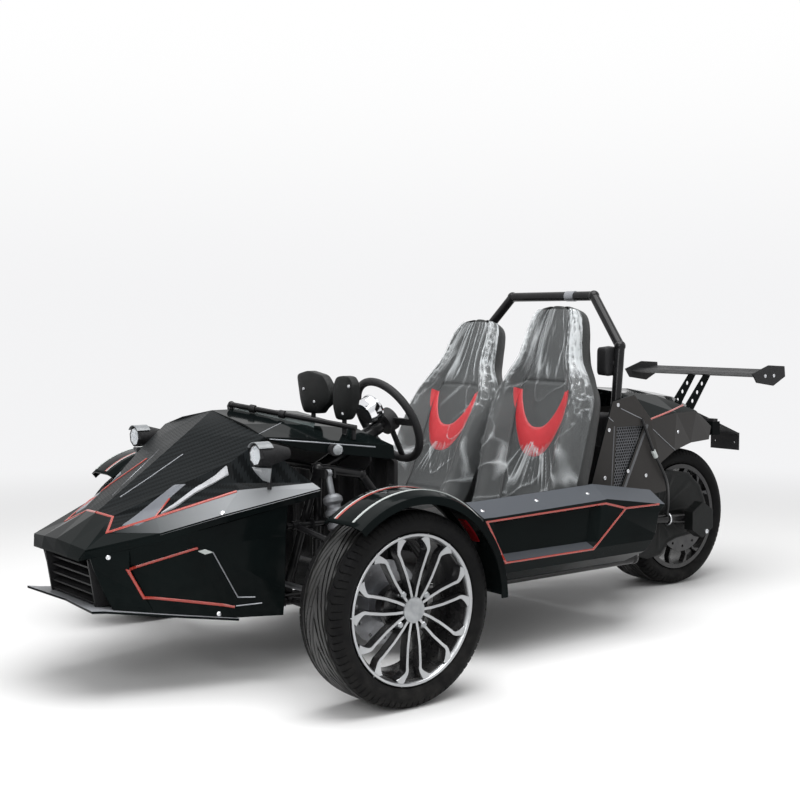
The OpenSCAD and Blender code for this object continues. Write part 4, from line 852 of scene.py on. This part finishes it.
def laid_strip(nodes, corners, width, lift=0.0026, closed=False, step=0.02):
    """A rounded bead along corners given in millimetres: each run is split into short steps, every step
    is moved onto the surface, and the bead stands along the smoothed way out."""
    corners = np.asarray(corners, float) / 1000
    if closed:
        corners = np.concatenate([corners, corners[:1]])
    line = []
    for start, end in zip(corners[:-1], corners[1:]):
        count = max(1, round(np.linalg.norm(end - start) / step))
        line.append(start + (end - start) * (np.arange(count) / count)[:, None])
    if not closed:
        line.append(corners[-1:])
    spots, ways = laid_on(nodes, np.concatenate(line))
    before, after = np.roll(ways, 1, 0), np.roll(ways, -1, 0)
    if not closed:
        before[0], after[-1] = ways[0], ways[-1]
    ways = unit(ways + before * 0.6 + after * 0.6)
    section = [(-0.5, -0.0012), (0.5, -0.0012), (0.5, 0.3 * lift), (0.38, 0.75 * lift), (0.16, lift),
               (-0.16, lift), (-0.38, 0.75 * lift), (-0.5, 0.3 * lift)]
    return (*sweep(spots, section, ways, closed, width), 0)


def both_sides(parts):
    """Parts and their mirror images."""
    return parts + mirrored(parts)


LIP_EDGE = [(1494, 0, 548), (1484, 92, 543), (1533, 152, 506), (1410, 238, 553), (1188, 349, 627)]
NOSE_SIDE_LINE = [(1305, 311, 456), (1505, 234, 399), (1458, 246, 309), (1193, 341, 262)]
SILL_LINE = [(400, 635, 490), (-168, 636, 503), (-277, 632, 476), (-119, 622, 341), (302, 621, 340)]
SILL_TAIL = [(-277, 632, 476), (-449, 638, 476)]
TAIL_LINE = [(-730, 340, 757), (-845, 295, 768), (-1107, 194, 795)]
TAIL_HIGHLIGHT_LINE = [(-730, 330, 742), (-864, 291, 674), (-982, 260, 615)]
NOSE_HIGHLIGHT_LINE = [(1268, 338, 443), (1186, 348, 293), (1135, 367, 290)]
LOW_HIGHLIGHT_LINE = [(1190, 343, 265), (1113, 372, 269)]


def make_trims():
    """Red-orange outlines on the nose, sills and tail, and grey lines along the creases of the nose's sides
    and the tail, which are painted highlights.
    """
    lines = both_sides([laid_strip(["nose_cowl", "hood"], LIP_EDGE, 0.009)])
    lines += both_sides([laid_strip(["nose_sides"], NOSE_SIDE_LINE, 0.009),
                         laid_strip(["sills"], SILL_LINE, 0.008, closed=True, step=0.006),
                         laid_strip(["sills"], SILL_TAIL, 0.008),
                         laid_strip(["tail_fairing"], TAIL_LINE, 0.008)])
    piece("red_outlines", "chassis", lines, [TRIM])
    # Grey lines along the creases: painted highlights.
    creases = both_sides([laid_strip(["nose_sides"], NOSE_HIGHLIGHT_LINE, 0.004),
                          laid_strip(["nose_sides"], LOW_HIGHLIGHT_LINE, 0.004),
                          laid_strip(["tail_fairing"], TAIL_HIGHLIGHT_LINE, 0.003)])
    piece("grey_painted_highlights", "chassis", creases, [SILVER_HIGHLIGHT_AND_BAND])


BOLT_HEAD = np.array([(0.0, 0.0014), (0.0030, 0.0014), (0.0033, 0.0034), (0.0056, 0.0031), (0.0074, 0.0019),
                      (0.0080, 0.0), (0.0080, -0.001)])
PANEL_BOLTS = [("nose_cowl", (1250, 365, 566)), ("nose_sides", (1237, 318, 241)),
               ("nose_sides", (1560, 215, 440)), ("sills", (392, 603, 522)), ("sills", (134, 593, 534)),
               ("sills", (-113, 597, 539)), ("quarter_panels", (-376, 453, 743)),
               ("quarter_panels", (-355, 453, 563)), ("quarter_panels", (-424, 453, 836)),
               ("quarter_panels", (-483, 453, 580)), ("quarter_panels", (-585, 453, 556)),
               ("tail_fairing", (-760, 328, 640)), ("tail_fairing", (-1000, 268, 690))]


def bolt_at(node, place, size=1.0):
    """A screw head on the nearest place of a node, given in millimetres."""
    spot, way = nearest([node], np.asarray(place, float) / 1000)
    return (*stood(BOLT_HEAD * size, spot, way, 18), 0)


def make_bolts():
    """Round bright screw heads with a socket, on the body's panels and the wing's ends."""
    heads = both_sides([bolt_at(node, place) for node, place in PANEL_BOLTS])
    heads += both_sides([bolt_at("rear_wing", (x, 366, 915)) for x in (-1440, -1500)])
    piece("screw_heads", "chassis", heads, [BOLT])


AHEAD = (1, 0, 0)
LAMP_BEZEL = [(0.0295, 0.0), (0.0365, -0.004), (0.0375, 0.004), (0.0345, 0.0095), (0.0305, 0.0085),
              (0.0295, 0.0)]
LAMP_BOWL = [(0.0, 0.0005), (0.012, 0.0008), (0.020, 0.0022), (0.0275, 0.0058), (0.0305, 0.0085),
             (0.0305, -0.003), (0.0, -0.003)]
BULB_LENS = [(0.0, 0.0105), (0.006, 0.0098), (0.0105, 0.007), (0.012, 0.0012), (0.0, 0.0010)]
LAMP_COVER = [(0.0, 0.0125), (0.014, 0.0119), (0.026, 0.0099), (0.0325, 0.0083), (0.0325, 0.0075),
              (0.0, 0.0112)]
INDICATOR = [(0.0, 0.0135), (0.008, 0.0125), (0.0145, 0.009), (0.0185, 0.002), (0.0185, -0.012),
             (0.0, -0.012)]
VISOR_SECTION = [(-0.026, -0.0015), (0.026, -0.0015), (0.026, 0.0012), (-0.026, 0.0012)]


def make_lamps():
    """Headlamps with a bezel, a visor, a bright bowl, a round bulb lens and a clear cover, each a profile
    turned about the lamp's middle line, and round indicators that face aside."""
    dark, bright, clear, indicators = [], [], [], []
    lens_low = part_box("lamp_lenses")[0]
    for hand in (1, -1):
        face = np.array((1.1485, hand * 0.408, 0.742))
        dark.append((*stood(LAMP_BEZEL, face, AHEAD, 8, math.pi / 8), 0))
        bright.append((*stood(LAMP_BOWL, face, AHEAD, 40), 0))
        clear.append((*stood(BULB_LENS, face, AHEAD, 32), 0))
        clear.append((*stood(LAMP_COVER, face, AHEAD, 8, math.pi / 8), 0))
        arch = np.linspace(math.radians(35), math.radians(145), 21)
        out = np.stack([0 * arch, np.cos(arch), np.sin(arch)], -1)
        visor = face + (-0.012, 0, 0) + 0.040 * out
        dark.append((*sweep(visor, VISOR_SECTION, out), 1))
        way = unit(np.array((0.223, 0.975 * hand, 0.0)))
        foot = np.array((lens_low[0] + 0.006, hand * 0.3945, 0.740)) + way * 0.014
        indicators.append((*stood(INDICATOR, foot, way, 32), 0))
    piece("lamp_bezels", "chassis", dark, [MOULDED, VISOR])
    piece("lamp_bowls", "chassis", bright, [CHROME])
    lens = piece("clear_lenses", "chassis", clear + indicators, [GLASS], 60)
    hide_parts("lamp_lenses")


make_trims()
make_bolts()
make_lamps()

# Fenders, tail and cabin fittings


def axle_ring(low, high, count):
    """Ways out from the front axle, between two angles in degrees above straight ahead."""
    turn = np.radians(np.linspace(low, high, count))
    return np.stack([np.cos(turn), 0 * turn, np.sin(turn)], -1)


# Columns: place across the trike, width, number of the finish; the two pale lines, finish 1, are painted
# highlights
FENDER_STRIPES = [(0.763, 0.010, 0), (0.7548, 0.005, 1), (0.846, 0.008, 1)]
STRIPE_SECTION = [(-0.5, -0.0010), (0.5, -0.0010), (0.46, 0.0011), (-0.46, 0.0011)]
MARKER_SECTION = [(-0.5, 0.002), (-0.46, -0.003), (0.46, -0.003), (0.5, 0.002)]


def make_fender_stripes():
    """A red stripe with a pale line beside it, painted highlight along the stripe, on each front fender's
    inner third; a raised pale line on its outer third, painted highlight along the fender's ridge; and a red
    marker under its back end, each carried round the fender's arc."""
    ring, marker = axle_ring(52, 177, 90), axle_ring(133, 149, 15)
    lines = []
    for y, width, slot in FENDER_STRIPES:
        path = np.array((FRONT_X, y, HUB_Z)) + 0.360 * ring
        lines.append((*sweep(path, STRIPE_SECTION, ring, widths=width), slot))
    path = np.array((FRONT_X, 0.80, HUB_Z)) + 0.3335 * marker
    lines.append((*sweep(path, MARKER_SECTION, marker, widths=0.034), 2))
    for side, parts in (("left", lines), ("right", mirrored(lines))):
        stripes = piece(f"fender_stripes_{side}", f"knuckle_{side}", parts, [TRIM, PALE_HIGHLIGHT_AND_BAND, RED_LENS])


MESH_WINDOW = np.array([(-0.412, 0.758), (-0.582, 0.756), (-0.456, 0.518), (-0.398, 0.518)])


def inside(outline, x, z):
    """Whether points lie inside a convex outline, from the turn at each of its sides."""
    turns = []
    for (x0, z0), (x1, z1) in zip(outline, np.roll(outline, -1, 0)):
        turns.append((x1 - x0) * (z - z0) - (z1 - z0) * (x - x0) > 0)
    return np.all(turns, 0) | ~np.any(turns, 0)


def make_mesh():
    """Perforated sheets in the quarter panels: six-sided cells in rows, each a rim round an open hole
    with a short wall, over a ribbed dark backing."""
    pitch = 0.0125
    row, col = np.meshgrid(np.arange(-16, 17), np.arange(-12, 13), indexing="ij")
    x = (-0.485 + (col + 0.5 * (row % 2)) * pitch).ravel()
    z = (0.636 + row * pitch * 0.866).ravel()
    keep = inside(MESH_WINDOW, x, z)
    x, z = x[keep, None], z[keep, None]
    turn = np.radians(30 + 60 * np.arange(6))[None, :]
    rings = []
    for radius, y in ((pitch / math.sqrt(3), 0.4455), (0.0054, 0.4455), (0.0050, 0.4430)):
        corners = [x + radius * np.cos(turn), np.full((len(x), 6), y), z + radius * np.sin(turn)]
        rings.append(np.stack(corners, -1))
    cells = np.stack(rings, 1)
    faces = grid(cells[0], False, True)[1]
    count = cells.shape[1] * 6
    faces = (faces[None] + np.arange(len(cells))[:, None, None] * count).reshape(-1, 4)
    lattice = [(cells.reshape(-1, 3), faces, 0)]
    u, v = np.meshgrid(np.linspace(0, 1, 29), np.linspace(0, 1, 15))
    low = MESH_WINDOW[3] + (MESH_WINDOW[2] - MESH_WINDOW[3]) * v[..., None]
    high = MESH_WINDOW[0] + (MESH_WINDOW[1] - MESH_WINDOW[0]) * v[..., None]
    plane = low + (high - low) * u[..., None]
    rib = 0.434 + 0.002 * np.cos(u * 14 * math.pi)
    backing = [(*grid(np.stack([plane[..., 0], rib, plane[..., 1]], -1)), 0)]
    sheet = piece("perforated_sheets", "chassis", both_sides(lattice), [PERFORATED], 60)
    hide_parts("mesh_inserts")
    piece("mesh_backing", "chassis", both_sides(backing), [MOULDED])


def make_hoop_fittings():
    """A plain bright band round the hoop's top bar, and a belt reel on each of its shoulders."""
    band = [(0.0186, -0.024), (0.0206, -0.024), (0.0214, -0.020), (0.0208, -0.010), (0.0214, 0.0),
            (0.0208, 0.010), (0.0214, 0.020), (0.0206, 0.024), (0.0186, 0.024)]
    bands = [(*turned(band, (-0.515, 0.112, 1.252), 40), 0)]
    piece("hoop_band", "chassis", bands, [SILVER_HIGHLIGHT_AND_BAND])
    height = np.linspace(-1, 1, 23)[:, None]
    turn = np.linspace(0, 2 * math.pi, 40, endpoint=False)[None, :]
    shrink = (1 - np.abs(height) ** 8) ** 0.25

    def squared(wave):
        """A wave drawn towards its ends, which turns a circle into a rounded square."""
        return np.sign(wave) * np.abs(wave) ** 0.45

    block = np.stack([-0.455 + 0.042 * shrink * squared(np.cos(turn)),
                      0.372 + 0.030 * shrink * squared(np.sin(turn)),
                      np.broadcast_to(1.000 + 0.058 * height, (23, 40))], -1)
    arm = sweep([(-0.455, 0.380, 0.985), (-0.460, 0.408, 0.992)], ring_section(0.014, 16), (0, 0, 1))
    reels = both_sides([(*grid(block, False, True), 0), (*arm, 0)])
    piece("belt_reels", "chassis", reels, [MOULDED], 50)


TICK_SECTION = [(-0.0007, -0.0012), (0.0007, -0.0012), (0.0007, 0.0004), (-0.0007, 0.0004)]
NEEDLE_SECTION = [(-0.0011, -0.0012), (0.0011, -0.0012), (0.0006, 0.0005), (-0.0006, 0.0005)]


def make_dial():
    """A gauge's face towards the driver: a turned bright rim, a dark face with raised ticks, a needle."""
    face, way = np.array((0.6045, 0.280, 0.8630)), np.array((-0.866, 0.0, 0.5))
    rim = (*stood([(0.036, -0.002), (0.046, -0.003), (0.0485, 0.001), (0.046, 0.005), (0.040, 0.0055),
                   (0.0375, 0.002), (0.036, -0.002)], face, way, 56), 0)
    plate = (*stood([(0.0, 0.0012), (0.030, 0.0012), (0.0375, 0.0016), (0.0375, -0.002), (0.0, -0.002)],
                    face, way, 56), 1)

    def ray(angle):
        """The way across the dial at an angle."""
        return math.cos(angle) * np.array((0.0, 1.0, 0.0)) + math.sin(angle) * np.array((0.5, 0.0, 0.866))

    marks = []
    for angle in np.radians(np.linspace(-40, 220, 14)):
        ends = face + way * 0.0020 + ray(angle) * np.array((0.0265, 0.0335))[:, None]
        marks.append((*sweep(ends, TICK_SECTION, way), 2))
    ends = face + way * 0.0026 + ray(math.radians(205)) * np.array((-0.006, 0.027))[:, None]
    marks.append((*sweep(ends, NEEDLE_SECTION, way), 3))
    piece("gauge_dial", "chassis", [rim, plate] + marks, [CHROME, MOULDED, VISOR, TRIM])


def resampled(line, count):
    """Points at even steps along a line of corners."""
    line = np.asarray(line, float)
    run = np.concatenate([[0], np.cumsum(np.linalg.norm(np.diff(line, axis=0), axis=1))])
    at = np.linspace(0, run[-1], count)
    return np.stack([np.interp(at, run, line[:, k]) for k in range(line.shape[1])], -1)


def drawn_in(edge, shares):
    """Rings of a flat outline, each drawn in to its middle to a share of its reach."""
    middle = edge.mean(0)
    return middle + (edge - middle)[None] * shares[:, None, None]


# Corners of each mirror's outline and places of its screws, across and up, in millimetres
MIRROR_SHAPES = [
    ([(70, 972), (137, 987), (228, 973), (258, 944), (274, 905), (262, 880), (222, 860), (210, 842),
      (112, 842), (92, 880)], [(123, 923), (187, 882)]),
    ([(287, 937), (306, 971), (345, 976), (382, 973), (402, 948), (404, 913), (392, 870), (372, 838),
      (356, 829), (304, 829), (287, 870)], [(384, 942), (350, 850)])]
SHELL_SHARE = np.array([0.80, 0.90, 0.915, 0.975, 1.0, 1.0, 0.985, 0.94, 0.80, 0.55, 0.25, 0.0])
SHELL_X = np.array([0.753, 0.753, 0.749, 0.749, 0.751, 0.776, 0.7785, 0.7805, 0.783, 0.785, 0.786, 0.7862])
GLASS_SHARE = np.array([0.895, 0.895, 0.87, 0.5, 0.0])
GLASS_X = np.array([0.752, 0.7502, 0.7496, 0.7502, 0.7504])


def domed(edge, shares, places):
    """Rings of an outline across and up, drawn in to its middle while they move along X."""
    flat = drawn_in(edge, shares)
    x = np.broadcast_to(places[:, None], flat.shape[:2])
    return (*grid(np.concatenate([x[..., None], flat], -1), False, True), 0)


def make_mirrors():
    """A domed shell over each mirror head, a bright glass in its back and two screws on its front."""
    shells, glasses, heads = [], [], []
    for corners, screws in MIRROR_SHAPES:
        edge = resampled(corners + corners[:1], 97)[:-1] / 1000
        for _ in range(7):
            edge = (np.roll(edge, 1, 0) + 2 * edge + np.roll(edge, -1, 0)) / 4
        shells.append(domed(edge, SHELL_SHARE, SHELL_X))
        glasses.append(domed(edge, GLASS_SHARE, GLASS_X))
        middle = edge.mean(0)
        for screw in np.array(screws) / 1000 - middle:
            reach = np.linalg.norm(edge - middle, axis=1)[np.argmax(unit(edge - middle) @ screw)]
            x = np.interp(np.linalg.norm(screw) / reach, SHELL_SHARE[:4:-1], SHELL_X[:4:-1])
            heads.append((*stood(BOLT_HEAD * 0.8, (x, *(middle + screw)), AHEAD, 18), 0))
    piece("mirror_shells", "chassis", shells, [DARK_SHELL], 35)
    piece("mirror_glass", "chassis", glasses, [CHROME])
    piece("mirror_screws", "chassis", heads, [BOLT])


def laid_patch(nodes, upper, lower, lift, slot=0):
    """A thin patch between two lines given in millimetres: it follows the surface under it, stands off it
    by lift, and is turned down to it round its border."""
    count, rows = 33, 9
    top, low = resampled(upper, count) / 1000, resampled(lower, count) / 1000
    share = np.linspace(0, 1, rows)[:, None, None]
    points = top[None] * (1 - share) + low[None] * share
    spots, ways = (found.reshape(points.shape) for found in laid_on(nodes, points.reshape(-1, 3)))
    rim = np.ones((rows, count, 1))
    rim[[0, -1], :] = rim[:, [0, -1]] = -0.4
    return (*grid(spots + ways * lift * rim), slot)


# Upper and lower edges of the painted highlight on each raised flank of the hood, in millimetres
HIGHLIGHT_TOP = [(1491, 167, 525), (1400, 176, 588), (1318, 185, 642), (1296, 222, 646)]
HIGHLIGHT_LOW = [(1491, 167, 525), (1458, 215, 528), (1413, 235, 552), (1346, 212, 605), (1296, 222, 645)]
FIN_TOP = [(1397, 239, 559), (1341, 233, 590), (1278, 247, 634), (1223, 277, 674), (1190, 296, 708)]
FIN_LOW = [(1397, 240, 558), (1350, 250, 578), (1285, 259, 617), (1226, 282, 649), (1189, 307, 674)]


HOOD_RED = [(1413, 235, 552), (1375, 214, 577), (1348, 211, 603)]
HOOD_RED_FAR = [(1451, -200, 540), (1365, -166, 613), (1266, -98, 697)]
HOOD_REFLECTION_LINE = [(1426, 26, 594), (1335, 55, 654), (1229, 82, 724)]
NOSE_HIGHLIGHT_TOP = [(1303, 307, 446), (1291, 329, 454), (1268, 338, 443)]
NOSE_HIGHLIGHT_LOW = [(1303, 307, 446), (1287, 322, 434), (1268, 338, 443)]


def make_hood_lines():
    """The hood's vents: a bright fin and a pale patch on each flank, the patch a painted highlight, a red
    line beside them, two long silver lines on its top, painted reflections of the vent channels' edges, and a
    pale patch of painted highlight on each side of the nose."""
    front = ["hood", "nose_cowl"]
    plates = both_sides([laid_patch(front, HIGHLIGHT_TOP, HIGHLIGHT_LOW, 0.0016, 0),
                         laid_patch(front, FIN_TOP, FIN_LOW, 0.0050, 1)])
    piece("hood_fins_and_highlights", "chassis", plates, [HOOD_HIGHLIGHT, FIN], 50)
    red = both_sides([laid_strip(front, HOOD_RED, 0.006)]) + [laid_strip(["hood"], HOOD_RED_FAR, 0.007)]
    piece("hood_red_lines", "chassis", red, [TRIM])
    # Two long silver lines on the hood's top: painted reflection of the vent channels' edges.
    silver = both_sides([laid_strip(["hood"], HOOD_REFLECTION_LINE, 0.004, 0.0014)])
    piece("hood_painted_reflections", "chassis", silver, [SILVER_HIGHLIGHT_AND_BAND])
    # A pale patch on each side of the nose: a painted highlight.
    marker = both_sides([laid_patch(["nose_sides"], NOSE_HIGHLIGHT_TOP, NOSE_HIGHLIGHT_LOW, 0.002)])
    piece("side_painted_highlights", "chassis", marker, [PALE_HIGHLIGHT_AND_BAND], 60)


DEFLECTOR_SECTION = [(-0.0012, -0.044), (0.0012, -0.044), (0.0014, -0.022), (0.0012, 0.0), (-0.0012, 0.0),
                     (-0.0014, -0.022)]
RAIL_CLIP = [(0.0092, -0.010), (0.0125, -0.010), (0.0135, -0.008), (0.0135, 0.008), (0.0125, 0.010),
             (0.0092, 0.010)]


def make_deflector():
    """A smoked wind deflector that hangs behind the cowl's rail, with two clips on each side."""
    share = np.linspace(-0.66, 0.66, 45)
    rail = np.stack([1.000 - 0.237 * np.abs(share), 0.395 * share, 0.872 - 0.066 * np.abs(share)], -1)
    blade = sweep(rail + (-0.013, 0, -0.004), DEFLECTOR_SECTION, (-0.30, 0, 0.95))
    piece("deflector", "chassis", [(*blade, 0)], [SMOKED])
    clips = [(*stood(RAIL_CLIP, rail[at], unit(rail[at + 1] - rail[at]), 24), 0) for at in (8, 16)]
    piece("rail_clips", "chassis", both_sides(clips), [MOULDED])


def ribbed_pan(x, half, low, high, ribs, away):
    """An upright pan across the body: its sheet is ribbed by a flattened cosine, and its border is folded
    away from the cabin."""
    y, z = np.meshgrid(np.linspace(-half, half, 121), np.linspace(low, high, 31))
    wave = np.clip(1.6 * np.cos(ribs * math.pi * y / half), -1, 1)
    inset = np.clip(np.minimum(np.minimum(z - low, high - z), half - np.abs(y)) / 0.03, 0, 1)
    depth = x + 0.005 * wave * inset
    depth[[0, -1], :] += away * 0.018
    depth[:, [0, -1]] += away * 0.018
    return (*grid(np.stack([depth, y, z], -1)), 0)


FIREWALL = {"x": 0.600, "half": 0.415, "low": 0.290, "high": 0.700, "ribs": 9, "away": 1}
BULKHEAD = {"x": -0.507, "half": 0.432, "low": 0.452, "high": 0.795, "ribs": 9, "away": -1}


def make_pans():
    """A firewall ahead of the cabin and a bulkhead behind the seats."""
    pans = [ribbed_pan(**FIREWALL), ribbed_pan(**BULKHEAD)]
    piece("cabin_pans", "chassis", pans, [MOULDED], 60)


DRIVE_CASE = np.array([(-0.735, 0.400), (-0.800, 0.470), (-0.950, 0.500), (-1.100, 0.512), (-1.220, 0.492),
                       (-1.300, 0.430), (-1.340, 0.350), (-1.330, 0.270), (-1.270, 0.222), (-1.150, 0.212),
                       (-1.090, 0.196), (-1.045, 0.150), (-0.960, 0.140), (-0.850, 0.170), (-0.745, 0.240),
                       (-0.735, 0.400)])
CASE_Y = 0.1335


def pressed_plate(outline, y, hand):
    """A plate pressed from sheet: the outline is drawn in to its middle over rounded rings, and ribs fan
    out from the middle as narrow crests of a cosine."""
    edge = resampled(outline, 145)[:-1]
    middle = edge.mean(0)
    angle = np.arctan2(edge[:, 1] - middle[1], edge[:, 0] - middle[0])
    share = np.array([1.0, 1.0, 0.985, 0.955, 0.93, 0.90, 0.84, 0.76, 0.66, 0.54, 0.42, 0.30, 0.18, 0.0])
    rise = np.array([-0.004, 0.0, 0.0016, 0.002, 0.0005, 0.0, 0.0, 0.0, 0.0, 0.0, 0.0, 0.0, 0.001, 0.001])
    crest = np.maximum(np.cos(12 * angle), 0) ** 6 * 0.0028
    window = np.clip((0.90 - share) / 0.06, 0, 1) * np.clip((share - 0.18) / 0.12, 0, 1)
    flat = drawn_in(edge, share)
    out = y + hand * (rise[:, None] + crest[None] * window[:, None])
    return (*grid(np.stack([flat[..., 0], out, flat[..., 1]], -1), False, True), 0)


def make_drive():
    """Pressed cases on both sides of the back wheel, a bright clamp on the swing arm and the hub's bolt."""
    cases = [pressed_plate(DRIVE_CASE, hand * CASE_Y, hand) for hand in (1, -1)]
    piece("drive_cases", "chassis", cases, [DARK_SHELL], 40)
    turn = np.linspace(0, 2 * math.pi, 48, endpoint=False)
    ring = np.stack([np.full(48, -1.045), 0.1665 + 0.0235 * np.cos(turn), 0.309 + 0.0235 * np.sin(turn)], -1)
    clamp = (*sweep(ring, ring_section(0.0045), (1, 0, 0), True), 0)
    heads = [clamp, bolt_at("hub_cover", (-1226, 236, 246), 1.3)]
    piece("drive_fittings", "chassis", heads, [BOLT])


CABLE_WAY = np.array([(-0.552, 0.460, 0.775), (-0.585, 0.466, 0.700), (-0.612, 0.468, 0.645),
                      (-0.640, 0.467, 0.606), (-0.710, 0.450, 0.522), (-0.860, 0.330, 0.415),
                      (-0.990, 0.215, 0.346), (-1.040, 0.178, 0.328)])
CABLE_R = 0.006
CABLE_BAND = [(0.0062, -0.016), (0.0088, -0.016), (0.0096, -0.014), (0.0096, 0.014), (0.0088, 0.016),
              (0.0062, 0.016)]


def make_cable():
    """A brake cable from the left quarter panel down to the swing arm, with a pale band on it."""
    way = smooth_rows(CABLE_WAY, 40)
    skin = sweep(way, ring_section(CABLE_R, 14), (0.6, 0.8, 0))
    cable = piece("brake_cable", "chassis", [(*skin, 0)], [CORD], 70)
    sleeve = stood(CABLE_BAND, way[12], way[13] - way[11], 22)
    band = piece("cable_band", "chassis", [(*sleeve, 0)], [PALE_HIGHLIGHT_AND_BAND])


def make_lamp_shields():
    """A pale bent plate under each headlamp."""
    top = resampled([(1.164, 0.400, 0.706), (1.142, 0.420, 0.703), (1.112, 0.432, 0.700)], 25)
    low = resampled([(1.150, 0.404, 0.684), (1.136, 0.418, 0.664), (1.116, 0.428, 0.656)], 25)
    share = np.linspace(0, 1, 9)[:, None, None]
    face = top[None] * (1 - share) + low[None] * share + np.array((0.004, 0.006, 0)) * np.sin(math.pi * share)
    back = face[:, ::-1] - np.array((0.0015, 0.0025, 0.0))
    shields = both_sides([(*grid(np.concatenate([face, back], 1), False, True), 0)])
    piece("lamp_shields", "chassis", shields, [VISOR], 60)


# Lines of the painted reflection on the window chamfers, and of painted highlights on the quarter panels and
# the dash cowl, in millimetres
CHAMFERS = [([(-591, 453, 754), (-464, 453, 516)], 0.012), ([(-405, 453, 756), (-391, 453, 520)], 0.006)]
QUARTER_HIGHLIGHT_LINES = [[(-440, 453, 822), (-556, 453, 778)], [(-360, 453, 797), (-399, 453, 775)]]
COWL_HIGHLIGHT_LINES = [[(1060, 338, 781), (906, 372, 765), (700, 418, 741)],
                [(1066, 290, 796), (1008, 260, 808), (937, 215, 819)]]


def make_panel_edges():
    """Grey strips on the chamfers beside the perforated windows, painted reflection, and thin silver lines
    above them and on the dash cowl, painted highlights.
    """
    edges = [laid_strip(["quarter_panels"], line, width, 0.0016) for line, width in CHAMFERS]
    piece("window_chamfer_reflections", "chassis", both_sides(edges), [EDGE_REFLECTION])
    thin = [laid_strip(["quarter_panels"], line, 0.003, 0.0012) for line in QUARTER_HIGHLIGHT_LINES]
    thin += [laid_strip(["dash_cowl"], line, 0.004, 0.0014) for line in COWL_HIGHLIGHT_LINES]
    piece("panel_painted_highlights", "chassis", both_sides(thin), [SILVER_HIGHLIGHT_AND_BAND])


make_fender_stripes()
make_mesh()
make_hoop_fittings()
make_dial()
make_mirrors()
make_hood_lines()
make_deflector()
make_pans()
make_drive()
make_cable()
make_lamp_shields()
make_panel_edges()

# Stage


def seen_directly(tree):
    """1 for what the camera, mirrors and glass see, 0 for the light that falls on the object."""
    path = add(tree, "ShaderNodeLightPath").outputs
    return maths(tree, "MAXIMUM", path["Is Camera Ray"],
                 maths(tree, "MAXIMUM", path["Is Glossy Ray"], path["Is Transmission Ray"]))


def make_floor():
    """A wide pale floor under the wheels."""
    mesh = bpy.data.meshes.new("floor")
    mesh.from_pydata([(-30, -30, 0), (30, -30, 0), (30, 30, 0), (-30, 30, 0)], [], [(0, 1, 2, 3)])
    floor = bpy.data.objects.new("floor", mesh)
    bpy.context.scene.collection.objects.link(floor)
    pale, tree, shader = new_finish("pale_floor")
    shader.inputs["Base Color"].default_value = (0.80, 0.80, 0.80, 1.0)
    shader.inputs["Roughness"].default_value = 0.85
    shader.inputs["Specular IOR Level"].default_value = 0.1
    out = vector_maths(tree, "LENGTH", place_of(tree))["Value"]
    far = ramp(tree, out, 2.2, 6.0, interpolation_type="SMOOTHSTEP")
    glow = add(tree, "ShaderNodeEmission", {"Color": (0.90, 0.90, 0.91, 1.0), "Strength": 1.0}).outputs[0]
    both = add(tree, "ShaderNodeMixShader", {0: maths(tree, "MULTIPLY", far, seen_directly(tree)),
                                             1: shader.outputs[0], 2: glow}).outputs[0]
    tree.links.new(both, tree.nodes["Material Output"].inputs["Surface"])
    mesh.materials.append(pale)


def light_world():
    """A plain grey sky for light; the camera, mirrors and glass see it pale."""
    world = bpy.data.worlds.new("studio")
    bpy.context.scene.world = world
    world.use_nodes = True
    tree = world.node_tree
    tree.nodes.clear()
    rise = axes_of(tree, add(tree, "ShaderNodeTexCoord").outputs["Generated"])[2]
    lift = ramp(tree, rise, 0.0, 0.22, interpolation_type="SMOOTHSTEP")
    tone = blend_colour(tree, lift, (0.90, 0.90, 0.91, 1.0), (1.0, 1.0, 1.0, 1.0))
    sky = add(tree, "ShaderNodeBackground", {"Color": (1, 1, 1, 1), "Strength": 0.55}).outputs[0]
    pale = add(tree, "ShaderNodeBackground", {"Color": tone, "Strength": 1.0}).outputs[0]
    both = add(tree, "ShaderNodeMixShader", {0: seen_directly(tree), 1: sky, 2: pale}).outputs[0]
    add(tree, "ShaderNodeOutputWorld", {"Surface": both})


set_camera()
make_floor()
light_world()
add_lamp("softbox_top", (0.5, 0.8, 4.5), (0.0, 0.0, 0.3), 4.0, 260.0)
add_lamp("softbox_front", (4.0, 3.0, 2.6), (0.3, 0.0, 0.5), 2.0, 60.0)
bpy.context.scene.view_settings.view_transform = "Standard"
